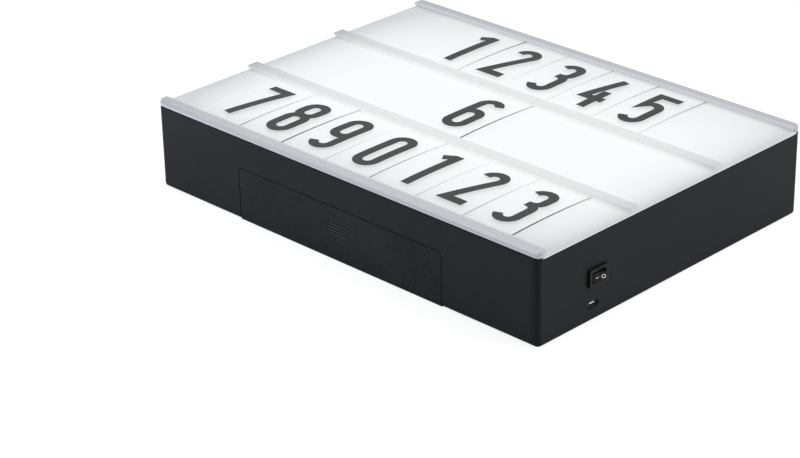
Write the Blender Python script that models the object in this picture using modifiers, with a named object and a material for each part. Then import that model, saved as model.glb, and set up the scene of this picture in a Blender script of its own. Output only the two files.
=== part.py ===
"""Marquee light box: a letter board lit from inside, lying on its back with the lit face up.

Metres, +Z up. The origin is the middle of the back face. The +X end holds the switch and the
power inlet, and the -Y side holds the battery door.
"""

import math

import bmesh
import bpy
from mathutils import Matrix, Vector

MM = 0.001

# Outer sizes
LENGTH = 300.0 * MM
WIDTH = 222.0 * MM
HOUSING_DEPTH = 51.8 * MM
CORNER_RADIUS = 3.0 * MM
BACK_EDGE_RADIUS = 2.2 * MM

# Clearances
FIT = 0.3 * MM
RUNNING_FIT = 0.3 * MM

# Housing
WALL = 2.2 * MM
INNER_CORNER_RADIUS = 0.8 * MM
FLOOR = 2.2 * MM
END_WALL_DROP = 1.1 * MM
CORNER_POST = 3.2 * MM
RIB_THICKNESS = 1.2 * MM
RIB_HEIGHT = 1.6 * MM
RIB_COUNT = 5
BOSS_RADIUS = 3.0 * MM
BOSS_HOLE_DEPTH = 4.6 * MM

# Keyholes for hanging the box on two screws
KEYHOLE_SPACING = 180.0 * MM
KEYHOLE_INSET = 44.0 * MM
KEYHOLE_HEAD = 9.0 * MM
KEYHOLE_SLOT = 4.4 * MM
KEYHOLE_TRAVEL = 9.0 * MM

# Face panel and its clips
PANEL_THICKNESS = 1.0 * MM
PANEL_EDGE_RADIUS = 0.8 * MM
CLIP_SPACING = 110.0 * MM
CLIP_COUNT = 3
CLIP_WIDTH = 10.0 * MM
CLIP_THICKNESS = 1.4 * MM
CLIP_LENGTH = 8.0 * MM
CLIP_HOOK = 0.7 * MM
CLIP_HOOK_HEIGHT = 2.4 * MM

# Rails and letter tiles
ROWS = 3
END_RAIL_WIDTH = 7.0 * MM
MID_RAIL_WIDTH = 8.0 * MM
RAIL_OVERHANG = 2.5 * MM
RAIL_CAP = 1.6 * MM
RAIL_EDGE_RADIUS = 0.5 * MM
END_RAIL_INSET = 0.2 * MM
TILE_WIDTH = 35.0 * MM
TILE_THICKNESS = 0.5 * MM
TILE_BOW = 1.0 * MM
TILE_SIDE_PLAY = 0.5 * MM
TILE_SEGMENTS = 8
BOTTOM_TILE_COUNT = 7
MIDDLE_TILE_COUNT = 1
TOP_TILE_COUNT = 5

# Battery cells and their holder
CELL_DIAMETER = 14.5 * MM
CELL_LENGTH = 50.5 * MM
CELL_NUB_DIAMETER = 5.5 * MM
CELL_NUB_LENGTH = 1.2 * MM
CELL_EDGE = 0.6 * MM
CELLS_IN_LINE = 3
CELL_LAYERS = 2
CELL_INSET = 0.5 * MM
HOLDER_WALL = 1.2 * MM
HOLDER_RIDGE = 1.2 * MM
HOLDER_RIDGE_DEPTH = 3.8 * MM
SPRING_ROOM = 6.5 * MM
CONTACT_ROOM = 1.5 * MM
CONTACT_THICKNESS = 0.6 * MM
CONTACT_WIDTH = 9.0 * MM
CONTACT_TAIL_WIDTH = 3.0 * MM
CONTACT_TAIL = 4.0 * MM
SPRING_RADIUS = 3.0 * MM
SPRING_WIRE = 0.35 * MM
SPRING_TURNS = 3.5
HOLDER_EAR = 9.5 * MM
HOLDER_EAR_DEPTH = 8.0 * MM
HOLDER_EAR_THICKNESS = 2.0 * MM
HOLDER_EAR_HEIGHT = 8.0 * MM

# Battery door
DOOR_WIDTH = 160.6 * MM
DOOR_HEIGHT = 32.7 * MM
DOOR_GAP = 0.5 * MM
DOOR_CORNER = 2.3 * MM
DOOR_PLATE = 2.5 * MM
DOOR_TONGUE = 1.5 * MM
DOOR_TONGUE_REACH = 2.0 * MM
DOOR_FOOT_DEPTH = 14.0 * MM
DOOR_FOOT = 2.2 * MM
DOOR_LOWER_EDGE = 0.8 * MM
GRIP_COUNT = 4
GRIP_PITCH = 2.0 * MM
GRIP_LENGTH = 15.0 * MM
GRIP_GROOVE = 0.55 * MM
GRIP_CENTRE_HEIGHT = 20.0 * MM

# Rocker switch
SWITCH_FROM_FRONT = 46.2 * MM
SWITCH_HEIGHT = 26.3 * MM
BEZEL_LENGTH = 15.0 * MM
BEZEL_WIDTH = 10.5 * MM
BEZEL_THICKNESS = 1.4 * MM
BEZEL_CORNER = 0.8 * MM
SWITCH_BODY_LENGTH = 12.6 * MM
SWITCH_BODY_WIDTH = 8.2 * MM
SWITCH_BODY_DEPTH = 10.0 * MM
SWITCH_WING_WIDTH = 5.0 * MM
SWITCH_WING_RISE = 0.9 * MM
SWITCH_WING_LENGTH = 4.0 * MM
ROCKER_LENGTH = 10.0 * MM
ROCKER_WIDTH = 6.0 * MM
ROCKER_PIVOT_DEPTH = 2.2 * MM
ROCKER_SKIRT = 1.0 * MM
ROCKER_BELOW_BEZEL = 0.1 * MM
ROCKER_SWING = math.radians(26.0)
ROCKER_HUB_HALF_ARC = math.radians(45.0)
ROCKER_PIN_RADIUS = 0.7 * MM
ROCKER_PIN_LENGTH = 0.75 * MM
ROCKER_WELL = 2.4 * MM
TERMINAL_LENGTH = 6.0 * MM
TERMINAL_WIDTH = 4.0 * MM
TERMINAL_THICKNESS = 0.8 * MM
TERMINAL_CORNER = 0.8 * MM
TERMINAL_SPACING = 6.6 * MM

# Power inlet
INLET_FROM_FRONT = 43.5 * MM
INLET_HEIGHT = 10.0 * MM
INLET_SLOT_WIDTH = 8.2 * MM
INLET_SLOT_HEIGHT = 3.8 * MM
INLET_SLOT_CORNER = 1.0 * MM
INLET_RECESS = 0.7 * MM
SOCKET_WIDTH = 7.4 * MM
SOCKET_HEIGHT = 2.8 * MM
SOCKET_DEPTH = 5.6 * MM
SOCKET_SHELL = 0.3 * MM
SOCKET_LEAN = 0.98 * MM
TONGUE_WIDTH = 4.4 * MM
TONGUE_THICKNESS = 0.6 * MM
BOARD_LENGTH = 16.0 * MM
BOARD_WIDTH = 18.0 * MM
BOARD_THICKNESS = 1.2 * MM
BOARD_SCREW_INSET = 3.0 * MM

# Reflector and light strips
REFLECTOR_THICKNESS = 1.0 * MM
REFLECTOR_FLOOR_HEIGHT = 8.0 * MM
REFLECTOR_RIM_DROP = 2.0 * MM
REFLECTOR_END_SLOPE = 35.0 * MM
REFLECTOR_REAR_SLOPE = 19.0 * MM
REFLECTOR_SIDE_ROOM = 2.7 * MM
REFLECTOR_SCREW_INSET = 8.0 * MM
STRIP_COUNT = 3
STRIP_END_ROOM = 12.2 * MM
STRIP_WIDTH = 8.0 * MM
STRIP_THICKNESS = 1.0 * MM
STRIP_EDGE_ROOM = 20.0 * MM
LED_COUNT = 6
LED_SIZE = 5.0 * MM
LED_HEIGHT = 1.4 * MM
LEAD_HOLE_RADIUS = 4.5 * MM
LEAD_HOLE_FROM_STRIP = 7.0 * MM

# Wires and small screws
WIRE_RADIUS = 0.75 * MM
STRIP_LEAD_RADIUS = 1.0 * MM
WIRE_SPREAD = 2.2 * MM
SCREW_SHANK_RADIUS = 1.2 * MM
SCREW_HEAD_RADIUS = 2.4 * MM
SCREW_HEAD_FLAT_RADIUS = 1.44 * MM
SCREW_HEAD_HEIGHT = 1.5 * MM
SCREW_LENGTH = 5.0 * MM
BOARD_SCREW_LENGTH = 4.0 * MM

# Roundness of arcs, and how far a cutter reaches past what it cuts
ARC_SEGMENTS = 6
EDGE_SEGMENTS = 4
SMALL_EDGE_SEGMENTS = 3
TINY_EDGE_SEGMENTS = 2
TURNED_SEGMENTS = 20
SCREW_SEGMENTS = 14
BOSS_SEGMENTS = 16
HOLE_SEGMENTS = 12
GROOVE_SEGMENTS = 10
SPRING_POINTS_PER_TURN = 12
WIRE_POINTS_PER_STRETCH = 5
PAST = 3.0 * MM
SINK = 0.2 * MM
SAME_PLACE = 0.001 * MM
MERGE_DISTANCE = 0.01 * MM

# Places that follow from the sizes above
END_X = LENGTH / 2
SIDE_Y = WIDTH / 2
PANEL_BOTTOM = HOUSING_DEPTH + FIT
PANEL_TOP = PANEL_BOTTOM + PANEL_THICKNESS
LEDGE_TOP = PANEL_TOP + TILE_THICKNESS + FIT
CAP_BOTTOM = LEDGE_TOP + FIT
CAP_TOP = CAP_BOTTOM + RAIL_CAP
TILE_BOTTOM = PANEL_TOP + FIT
LEDGE_WIDTH = END_RAIL_WIDTH - RAIL_OVERHANG
ROW_OPENING = (WIDTH - 2 * END_RAIL_WIDTH - (ROWS - 1) * MID_RAIL_WIDTH) / ROWS
ROW_PITCH = ROW_OPENING + MID_RAIL_WIDTH
TILE_HEIGHT = ROW_OPENING + 2 * (RAIL_OVERHANG - TILE_SIDE_PLAY)
TILE_PITCH = TILE_WIDTH + FIT

DOOR_FACE = -SIDE_Y
DOOR_TONGUE_FRONT = -SIDE_Y + WALL + FIT
DOOR_TONGUE_BACK = DOOR_TONGUE_FRONT + DOOR_TONGUE
DOOR_FOOT_BACK = DOOR_TONGUE_FRONT + DOOR_FOOT_DEPTH - DOOR_PLATE
DOOR_TONGUE_HALF = DOOR_WIDTH / 2 + DOOR_TONGUE_REACH

HOLDER_FRONT = DOOR_TONGUE_BACK + FIT
HOLDER_BOTTOM = FLOOR + FIT
CAVITY_BOTTOM = HOLDER_BOTTOM + HOLDER_WALL
CAVITY_TOP = CAVITY_BOTTOM + CELL_LAYERS * (CELL_DIAMETER + FIT) + FIT
HOLDER_TOP = CAVITY_TOP + HOLDER_WALL
CELL_Y = HOLDER_FRONT + CELL_INSET + CELL_DIAMETER / 2
CAVITY_BACK = CELL_Y + CELL_DIAMETER / 2 + FIT
HOLDER_BACK = CAVITY_BACK + HOLDER_WALL
LINE_LENGTH = CELLS_IN_LINE * CELL_LENGTH + (CELLS_IN_LINE - 1) * FIT
CONTACT_FACE = (LINE_LENGTH + SPRING_ROOM + CONTACT_ROOM) / 2
CAVITY_HALF = CONTACT_FACE + CONTACT_THICKNESS + FIT
HOLDER_HALF = CAVITY_HALF + HOLDER_WALL
EAR_X = HOLDER_HALF + HOLDER_EAR / 2
EAR_Y = HOLDER_BACK - HOLDER_EAR_DEPTH / 2

SWITCH_Y = -SIDE_Y + SWITCH_FROM_FRONT
BEZEL_FACE = END_X + FIT + BEZEL_THICKNESS
PIVOT_X = BEZEL_FACE - ROCKER_PIVOT_DEPTH
SWITCH_BACK = END_X - SWITCH_BODY_DEPTH
TERMINAL_TIP = SWITCH_BACK - FIT - TERMINAL_LENGTH

INLET_Y = -SIDE_Y + INLET_FROM_FRONT
SOCKET_MOUTH = END_X - INLET_RECESS
BOARD_TOP = INLET_HEIGHT - SOCKET_HEIGHT / 2 - FIT
BOARD_BOTTOM = BOARD_TOP - BOARD_THICKNESS
BOARD_END = END_X - WALL - FIT
BOARD_START = BOARD_END - BOARD_LENGTH

REFLECTOR_TOP = HOUSING_DEPTH - REFLECTOR_RIM_DROP
REFLECTOR_SHOULDER = HOLDER_TOP + REFLECTOR_SIDE_ROOM
RIM_X = END_X - WALL - 2 * FIT
RIM_Y = SIDE_Y - WALL - CLIP_THICKNESS - 3 * FIT
FLOOR_X = RIM_X - REFLECTOR_END_SLOPE
FLOOR_REAR = RIM_Y - REFLECTOR_REAR_SLOPE
SHOULDER_FRONT = HOLDER_BACK + REFLECTOR_SIDE_ROOM
FLOOR_FRONT = SHOULDER_FRONT + REFLECTOR_SIDE_ROOM
REFLECTOR_FLOOR_TOP = REFLECTOR_FLOOR_HEIGHT + REFLECTOR_THICKNESS
STRIP_BOTTOM = REFLECTOR_FLOOR_TOP + FIT
STRIP_PITCH = (FLOOR_REAR - FLOOR_FRONT - 2 * STRIP_EDGE_ROOM) / (STRIP_COUNT - 1)
STRIP_LENGTH = 2 * (FLOOR_X - STRIP_END_ROOM)

COLLECTION_NAME = "marquee_light_box"


def clear_scene():
    """Removes every object that the file starts with."""
    for obj in list(bpy.data.objects):
        bpy.data.objects.remove(obj, do_unlink=True)


def new_collection(name):
    collection = bpy.data.collections.new(name)
    bpy.context.scene.collection.children.link(collection)
    return collection


clear_scene()
PARTS = new_collection(COLLECTION_NAME)
CUTTERS = new_collection("cutters")
CUTTERS.hide_render = True


def finish(name, colour, roughness, metallic=0.0, glow=0.0, alpha=1.0):
    """A Principled material with one part's colour, roughness and metallic value."""
    material = bpy.data.materials.new(name)
    material.use_nodes = True
    shader = material.node_tree.nodes["Principled BSDF"]
    shader.inputs["Base Color"].default_value = (*colour, 1.0)
    shader.inputs["Roughness"].default_value = roughness
    shader.inputs["Metallic"].default_value = metallic
    shader.inputs["Alpha"].default_value = alpha
    if glow:
        shader.inputs["Emission Color"].default_value = (*colour, 1.0)
        shader.inputs["Emission Strength"].default_value = glow
    return material


def place(name, bm, material=None, helper=False):
    """Turns a bmesh into an object in the parts or the cutters collection."""
    bmesh.ops.recalc_face_normals(bm, faces=bm.faces[:])
    mesh = bpy.data.meshes.new(name)
    bm.to_mesh(mesh)
    bm.free()
    obj = bpy.data.objects.new(name, mesh)
    if helper:
        obj.hide_render = True
        obj.display_type = "WIRE"
        CUTTERS.objects.link(obj)
    else:
        mesh.materials.append(material)
        PARTS.objects.link(obj)
    return obj


def combine(target, other, operation):
    modifier = target.modifiers.new(f"{operation} {other.name}", "BOOLEAN")
    modifier.operation = operation
    modifier.solver = "EXACT"
    modifier.object = other


def cut(target, *others):
    for other in others:
        combine(target, other, "DIFFERENCE")


def join(target, *others):
    for other in others:
        combine(target, other, "UNION")


def box(low, high):
    """A bmesh box between two corners."""
    bm = bmesh.new()
    size = Vector(high) - Vector(low)
    bmesh.ops.create_cube(bm, size=1.0)
    bmesh.ops.scale(bm, vec=size, verts=bm.verts)
    bmesh.ops.translate(bm, vec=Vector(low) + size / 2, verts=bm.verts)
    return bm


def round_edges(bm, wanted, radius, segments=ARC_SEGMENTS):
    """Rounds the edges for whose two end points the test holds."""
    edges = [edge for edge in bm.edges if wanted(*(vert.co for vert in edge.verts))]
    bmesh.ops.bevel(
        bm, geom=edges, offset=radius, offset_type="OFFSET", segments=segments, profile=0.5, affect="EDGES"
    )


def same(a, b):
    return abs(a - b) < SAME_PLACE


def at(axis, value):
    """A test for edges that lie at one value of an axis."""
    return lambda a, b: same(a[axis], value) and same(b[axis], value)


def along(axis):
    """A test for edges that run along an axis."""
    others = [other for other in range(3) if other != axis]
    return lambda a, b: all(same(a[other], b[other]) for other in others)


def both(first, second):
    return lambda a, b: first(a, b) and second(a, b)


def prism(outline, axis, start, end):
    """A flat outline of (u, v) points pushed along an axis; u and v are the other two axes in order."""
    others = [other for other in range(3) if other != axis]
    bm = bmesh.new()
    corners = []
    for u, v in outline:
        point = Vector((0.0, 0.0, 0.0))
        point[axis] = start
        point[others[0]] = u
        point[others[1]] = v
        corners.append(bm.verts.new(point))
    face = bm.faces.new(corners)
    pushed = bmesh.ops.extrude_face_region(bm, geom=[face])
    moved = [item for item in pushed["geom"] if isinstance(item, bmesh.types.BMVert)]
    step = Vector((0.0, 0.0, 0.0))
    step[axis] = end - start
    bmesh.ops.translate(bm, vec=step, verts=moved)
    return bm


def arc(centre, radius, start, end, segments=ARC_SEGMENTS):
    """Points on an arc between two angles, both ends included."""
    return [
        (
            centre[0] + radius * math.cos(start + (end - start) * step / segments),
            centre[1] + radius * math.sin(start + (end - start) * step / segments),
        )
        for step in range(segments + 1)
    ]


def rounded_outline(low, high, radius, segments=ARC_SEGMENTS):
    """A rectangle with round corners, as (u, v) points that run counterclockwise."""
    quarter = math.pi / 2
    centres = (
        (high[0] - radius, high[1] - radius),
        (low[0] + radius, high[1] - radius),
        (low[0] + radius, low[1] + radius),
        (high[0] - radius, low[1] + radius),
    )
    points = []
    for turn, centre in enumerate(centres):
        points += arc(centre, radius, turn * quarter, (turn + 1) * quarter, segments)
    return points


def cylinder(centre, radius, start, end, axis=2, segments=TURNED_SEGMENTS):
    """A round bar along an axis, centred on the two values of the other axes."""
    others = [other for other in range(3) if other != axis]
    bm = bmesh.new()
    turn = {0: Matrix.Rotation(math.pi / 2, 4, "Y"), 1: Matrix.Rotation(math.pi / 2, 4, "X"), 2: Matrix()}
    sizes = {"radius1": radius, "radius2": radius, "depth": end - start}
    bmesh.ops.create_cone(bm, cap_ends=True, segments=segments, matrix=turn[axis], **sizes)
    middle = Vector((0.0, 0.0, 0.0))
    middle[axis] = (start + end) / 2
    middle[others[0]] = centre[0]
    middle[others[1]] = centre[1]
    bmesh.ops.translate(bm, vec=middle, verts=bm.verts)
    return bm


def turned(name, profile, material, segments=TURNED_SEGMENTS):
    """A turned piece: (radius, height) points down its outer side, swept about Z by a Screw modifier."""
    bm = bmesh.new()
    verts = [bm.verts.new((radius, 0.0, height)) for radius, height in profile]
    for first, second in zip(verts, verts[1:]):
        bm.edges.new((first, second))
    mesh = bpy.data.meshes.new(name)
    bm.to_mesh(mesh)
    bm.free()
    mesh.materials.append(material)
    obj = bpy.data.objects.new(name, mesh)
    PARTS.objects.link(obj)
    modifier = obj.modifiers.new("Turn", "SCREW")
    modifier.steps = segments
    modifier.render_steps = segments
    modifier.use_merge_vertices = True
    modifier.merge_threshold = MERGE_DISTANCE
    modifier.use_smooth_shade = True
    return obj


def smooth_path(points, steps=WIRE_POINTS_PER_STRETCH):
    """Points along one smooth curve through a route's own points."""
    points = [Vector(point) for point in points]
    padded = [2 * points[0] - points[1], *points, 2 * points[-1] - points[-2]]
    path = [points[0]]
    for before, start, end, after in zip(padded, padded[1:], padded[2:], padded[3:]):
        for step in range(1, steps + 1):
            t = step / steps
            path.append(
                0.5
                * (
                    2 * start
                    + (end - before) * t
                    + (2 * before - 5 * start + 4 * end - after) * t**2
                    + (3 * start - before - 3 * end + after) * t**3
                )
            )
    return path


def tube(name, path, radius, material):
    """A round wire along a path."""
    curve = bpy.data.curves.new(name, "CURVE")
    curve.dimensions = "3D"
    curve.bevel_depth = radius
    curve.bevel_resolution = 2
    curve.use_fill_caps = True
    spline = curve.splines.new("POLY")
    spline.points.add(len(path) - 1)
    for point, co in zip(spline.points, path):
        point.co = (*co, 1.0)
    curve.materials.append(material)
    obj = bpy.data.objects.new(name, curve)
    PARTS.objects.link(obj)
    return obj


def keyhole_outline(x, y):
    """The round head of a keyhole and the slot that runs from it towards +Y."""
    head, slot = KEYHOLE_HEAD / 2, KEYHOLE_SLOT / 2
    opening = math.asin(slot / head)
    top = y + KEYHOLE_TRAVEL
    outline = arc((x, y), head, math.pi / 2 + opening, 5 * math.pi / 2 - opening, 3 * ARC_SEGMENTS)
    return outline + arc((x, top), slot, 0.0, math.pi, ARC_SEGMENTS)


def strip_ys():
    """The middles of the light strips across the reflector floor."""
    return [FLOOR_FRONT + STRIP_EDGE_ROOM + index * STRIP_PITCH for index in range(STRIP_COUNT)]


def clip_xs():
    return [(index - (CLIP_COUNT - 1) / 2) * CLIP_SPACING for index in range(CLIP_COUNT)]


def reflector_screws():
    """The four places where the reflector is screwed down."""
    x = FLOOR_X - REFLECTOR_SCREW_INSET
    return [
        (side * x, y)
        for side in (-1, 1)
        for y in (FLOOR_FRONT + REFLECTOR_SCREW_INSET, FLOOR_REAR - REFLECTOR_SCREW_INSET)
    ]


def board_screws():
    """The two places where the inlet board is screwed down."""
    x = BOARD_START + BOARD_SCREW_INSET
    reach = BOARD_WIDTH / 2 - BOARD_SCREW_INSET
    return [(x, INLET_Y - reach), (x, INLET_Y + reach)]


def holder_screws():
    return [(-EAR_X, EAR_Y), (EAR_X, EAR_Y)]


def keyholes():
    """The middles of the two keyhole heads."""
    return [(side * KEYHOLE_SPACING / 2, SIDE_Y - KEYHOLE_INSET) for side in (-1, 1)]


def housing_shell():
    """The moulded tray: round corners, a rounded back edge and an even wall."""
    outline = rounded_outline((-END_X, -SIDE_Y), (END_X, SIDE_Y), CORNER_RADIUS)
    outer = prism(outline, 2, 0.0, HOUSING_DEPTH)
    round_edges(outer, at(2, 0.0), BACK_EDGE_RADIUS, EDGE_SEGMENTS)
    shell = place("housing", outer, finish("housing black", (0.022, 0.024, 0.028), 0.5))
    inner_x, inner_y = END_X - WALL, SIDE_Y - WALL
    inside = rounded_outline((-inner_x, -inner_y), (inner_x, inner_y), INNER_CORNER_RADIUS)
    inner = prism(inside, 2, FLOOR, HOUSING_DEPTH + PAST)
    cut(shell, place("cut_inside", inner, helper=True))
    return shell


def cut_end_walls(shell):
    """Lowers both end walls between the corners, where the face panel's lips come down."""
    reach = SIDE_Y - CORNER_POST
    for side, label in ((-1, "left"), (1, "right")):
        inside, outside = side * (END_X - WALL - PAST), side * (END_X + PAST)
        low = (min(inside, outside), -reach, HOUSING_DEPTH - END_WALL_DROP)
        high = (max(inside, outside), reach, HOUSING_DEPTH + PAST)
        cut(shell, place(f"cut_end_wall_{label}", box(low, high), helper=True))


def cut_door_opening(shell):
    """The opening for the battery door in the wall, and the notch for its foot in the back."""
    half, top = DOOR_WIDTH / 2 + DOOR_GAP, DOOR_HEIGHT + DOOR_GAP
    window = box((-half, -SIDE_Y - PAST, -PAST), (half, -SIDE_Y + WALL + SINK, top))
    round_edges(window, both(along(1), at(2, top)), DOOR_CORNER + DOOR_GAP)
    notch_half = DOOR_TONGUE_HALF + DOOR_GAP
    notch = box((-notch_half, -SIDE_Y + WALL, -PAST), (notch_half, DOOR_FOOT_BACK + DOOR_GAP, FLOOR + PAST))
    cut(shell, place("cut_door_window", window, helper=True), place("cut_door_notch", notch, helper=True))


def cut_end_openings(shell):
    """The switch cut-out and the slot of the power inlet in the right end wall."""
    half_y = SWITCH_BODY_LENGTH / 2 + FIT
    half_z = SWITCH_BODY_WIDTH / 2 + FIT
    switch = box(
        (END_X - WALL - PAST, SWITCH_Y - half_y, SWITCH_HEIGHT - half_z),
        (END_X + PAST, SWITCH_Y + half_y, SWITCH_HEIGHT + half_z),
    )
    low = (INLET_Y - INLET_SLOT_WIDTH / 2, INLET_HEIGHT - INLET_SLOT_HEIGHT / 2)
    high = (INLET_Y + INLET_SLOT_WIDTH / 2, INLET_HEIGHT + INLET_SLOT_HEIGHT / 2)
    slot = prism(rounded_outline(low, high, INLET_SLOT_CORNER), 0, END_X - WALL - PAST, END_X + PAST)
    cut(shell, place("cut_switch", switch, helper=True), place("cut_inlet", slot, helper=True))


def cut_clip_recesses(shell):
    """Blind recesses in the long walls that the face panel's clips hook into."""
    for side in (-1, 1):
        for index, x in enumerate(clip_xs()):
            inner, deep = side * (SIDE_Y - WALL - PAST), side * (SIDE_Y - WALL + CLIP_HOOK)
            bottom = PANEL_BOTTOM - CLIP_LENGTH - FIT
            low = (x - CLIP_WIDTH / 2 - FIT, min(inner, deep), bottom)
            high = (x + CLIP_WIDTH / 2 + FIT, max(inner, deep), bottom + CLIP_HOOK_HEIGHT + 2 * FIT)
            name = f"cut_clip_{'front' if side < 0 else 'rear'}_{index + 1}"
            cut(shell, place(name, box(low, high), helper=True))


def add_bosses(shell):
    """Screw bosses that stand on the tray's floor, each with a blind hole."""
    seats = [(place_xy, REFLECTOR_FLOOR_HEIGHT - FIT) for place_xy in reflector_screws()]
    seats += [(place_xy, HOLDER_EAR_HEIGHT - FIT) for place_xy in holder_screws()]
    seats += [(place_xy, BOARD_BOTTOM - FIT) for place_xy in board_screws()]
    for index, (centre, top) in enumerate(seats):
        boss = cylinder(centre, BOSS_RADIUS, FLOOR - SINK, top, segments=BOSS_SEGMENTS)
        join(shell, place(f"boss_{index + 1}", boss, helper=True))
    for index, (centre, top) in enumerate(seats):
        bottom = max(top - BOSS_HOLE_DEPTH, FLOOR / 2)
        hole = cylinder(centre, SCREW_SHANK_RADIUS + FIT, bottom, top + PAST, segments=HOLE_SEGMENTS)
        cut(shell, place(f"cut_boss_{index + 1}", hole, helper=True))


def add_floor_ribs(shell):
    """Low stiffening ribs across the floor, between the holder and the rear wall."""
    front, rear = HOLDER_BACK + PAST, SIDE_Y - WALL + SINK
    spacing = 2 * (FLOOR_X - REFLECTOR_SCREW_INSET - 2 * BOSS_RADIUS) / (RIB_COUNT - 1)
    for index in range(RIB_COUNT):
        x = (index - (RIB_COUNT - 1) / 2) * spacing
        low = (x - RIB_THICKNESS / 2, front, FLOOR - SINK)
        high = (x + RIB_THICKNESS / 2, rear, FLOOR + RIB_HEIGHT)
        join(shell, place(f"rib_{index + 1}", box(low, high), helper=True))


def make_housing():
    shell = housing_shell()
    cut_end_walls(shell)
    cut_door_opening(shell)
    cut_end_openings(shell)
    cut_clip_recesses(shell)
    add_floor_ribs(shell)
    add_bosses(shell)
    for index, (x, y) in enumerate(keyholes()):
        hole = prism(keyhole_outline(x, y), 2, -PAST, FLOOR + PAST)
        cut(shell, place(f"cut_keyhole_{index + 1}", hole, helper=True))


def clip_profile(side):
    """One clip seen along X: a leg under the panel with a hook on its outer side."""
    outer = SIDE_Y - WALL - FIT
    tip = outer + CLIP_HOOK
    inner = outer - CLIP_THICKNESS
    bottom = PANEL_BOTTOM - CLIP_LENGTH
    hook_top = bottom + CLIP_HOOK_HEIGHT
    points = [
        (inner, PANEL_BOTTOM + SINK),
        (inner, bottom),
        (outer, bottom),
        (tip, bottom + CLIP_HOOK_HEIGHT / 2),
        (tip, hook_top),
        (outer, hook_top),
        (outer, PANEL_BOTTOM + SINK),
    ]
    return [(side * y, z) for y, z in points]


def make_face_panel():
    """The lit panel: a thin sheet with a ledge along each long side and a lip down each end."""
    lip_bottom = HOUSING_DEPTH - END_WALL_DROP + FIT
    outline = rounded_outline((-END_X, -SIDE_Y), (END_X, SIDE_Y), CORNER_RADIUS)
    white = finish("panel white", (0.88, 0.9, 0.9), 0.35, glow=0.6)
    panel = place("face_panel", prism(outline, 2, lip_bottom, LEDGE_TOP), white)

    hollow_x = END_X - WALL
    under = box((-hollow_x, -SIDE_Y - PAST, lip_bottom - PAST), (hollow_x, SIDE_Y + PAST, PANEL_BOTTOM))
    cut(panel, place("cut_panel_under", under, helper=True))
    lip_end = SIDE_Y - CORNER_POST - FIT
    for side, label in ((-1, "front"), (1, "rear")):
        inside, outside = side * lip_end, side * (SIDE_Y + PAST)
        low = (-END_X - PAST, min(inside, outside), lip_bottom - PAST)
        high = (END_X + PAST, max(inside, outside), PANEL_BOTTOM)
        cut(panel, place(f"cut_panel_corner_{label}", box(low, high), helper=True))

    edge = PANEL_EDGE_RADIUS
    right = arc((END_X - edge, PANEL_TOP - edge), edge, 0.0, math.pi / 2, EDGE_SEGMENTS)
    over = [(END_X + PAST, PANEL_TOP - edge), *right]
    over += [(-x, z) for x, z in reversed(right)] + [(-END_X - PAST, PANEL_TOP - edge)]
    over += [(-END_X - PAST, LEDGE_TOP + PAST), (END_X + PAST, LEDGE_TOP + PAST)]
    reach = SIDE_Y - LEDGE_WIDTH
    cut(panel, place("cut_panel_over", prism(over, 1, -reach, reach), helper=True))

    for side in (-1, 1):
        for index, x in enumerate(clip_xs()):
            leg = prism(clip_profile(side), 0, x - CLIP_WIDTH / 2, x + CLIP_WIDTH / 2)
            name = f"clip_{'front' if side < 0 else 'rear'}_{index + 1}"
            join(panel, place(name, leg, helper=True))


def make_end_rail(name, side, material):
    """The cap along a long side: it overhangs the tiles and follows the round corners."""
    outer, inner = side * (SIDE_Y - END_RAIL_INSET), side * (SIDE_Y - END_RAIL_WIDTH)
    end = END_X - END_RAIL_INSET
    cap = box((-end, min(outer, inner), CAP_BOTTOM), (end, max(outer, inner), CAP_TOP))
    round_edges(cap, both(along(2), at(1, outer)), CORNER_RADIUS - END_RAIL_INSET)
    round_edges(cap, at(2, CAP_TOP), RAIL_EDGE_RADIUS, SMALL_EDGE_SEGMENTS)
    place(name, cap, material)


def make_mid_rail(name, y, material):
    """A rail between two rows: a foot on the panel and a cap that overhangs the tiles on both sides."""
    half = MID_RAIL_WIDTH / 2
    foot = half - RAIL_OVERHANG
    edge = RAIL_EDGE_RADIUS
    right = arc((half - edge, CAP_TOP - edge), edge, 0.0, math.pi / 2, SMALL_EDGE_SEGMENTS)
    profile = [(foot, TILE_BOTTOM), (foot, CAP_BOTTOM), (half, CAP_BOTTOM), *right]
    profile += [(-u, z) for u, z in reversed(profile)]
    outline = [(y + u, z) for u, z in profile]
    place(name, prism(outline, 0, -END_X, END_X), material)


def make_rails():
    white = finish("rail white", (0.8, 0.81, 0.84), 0.4)
    make_end_rail("rail_bottom", -1, white)
    make_end_rail("rail_top", 1, white)
    make_mid_rail("rail_lower", -ROW_PITCH / 2, white)
    make_mid_rail("rail_upper", ROW_PITCH / 2, white)


def tile_mesh(material):
    """A clear card, bowed a little between its rails."""
    bm = bmesh.new()
    bmesh.ops.create_grid(bm, x_segments=1, y_segments=TILE_SEGMENTS, size=0.5)
    for vert in bm.verts:
        across = 2 * vert.co.y
        vert.co = (vert.co.x * TILE_WIDTH, vert.co.y * TILE_HEIGHT, TILE_BOW * (1 - across**2))
    mesh = bpy.data.meshes.new("tile")
    bm.to_mesh(mesh)
    bm.free()
    mesh.materials.append(material)
    return mesh


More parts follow.
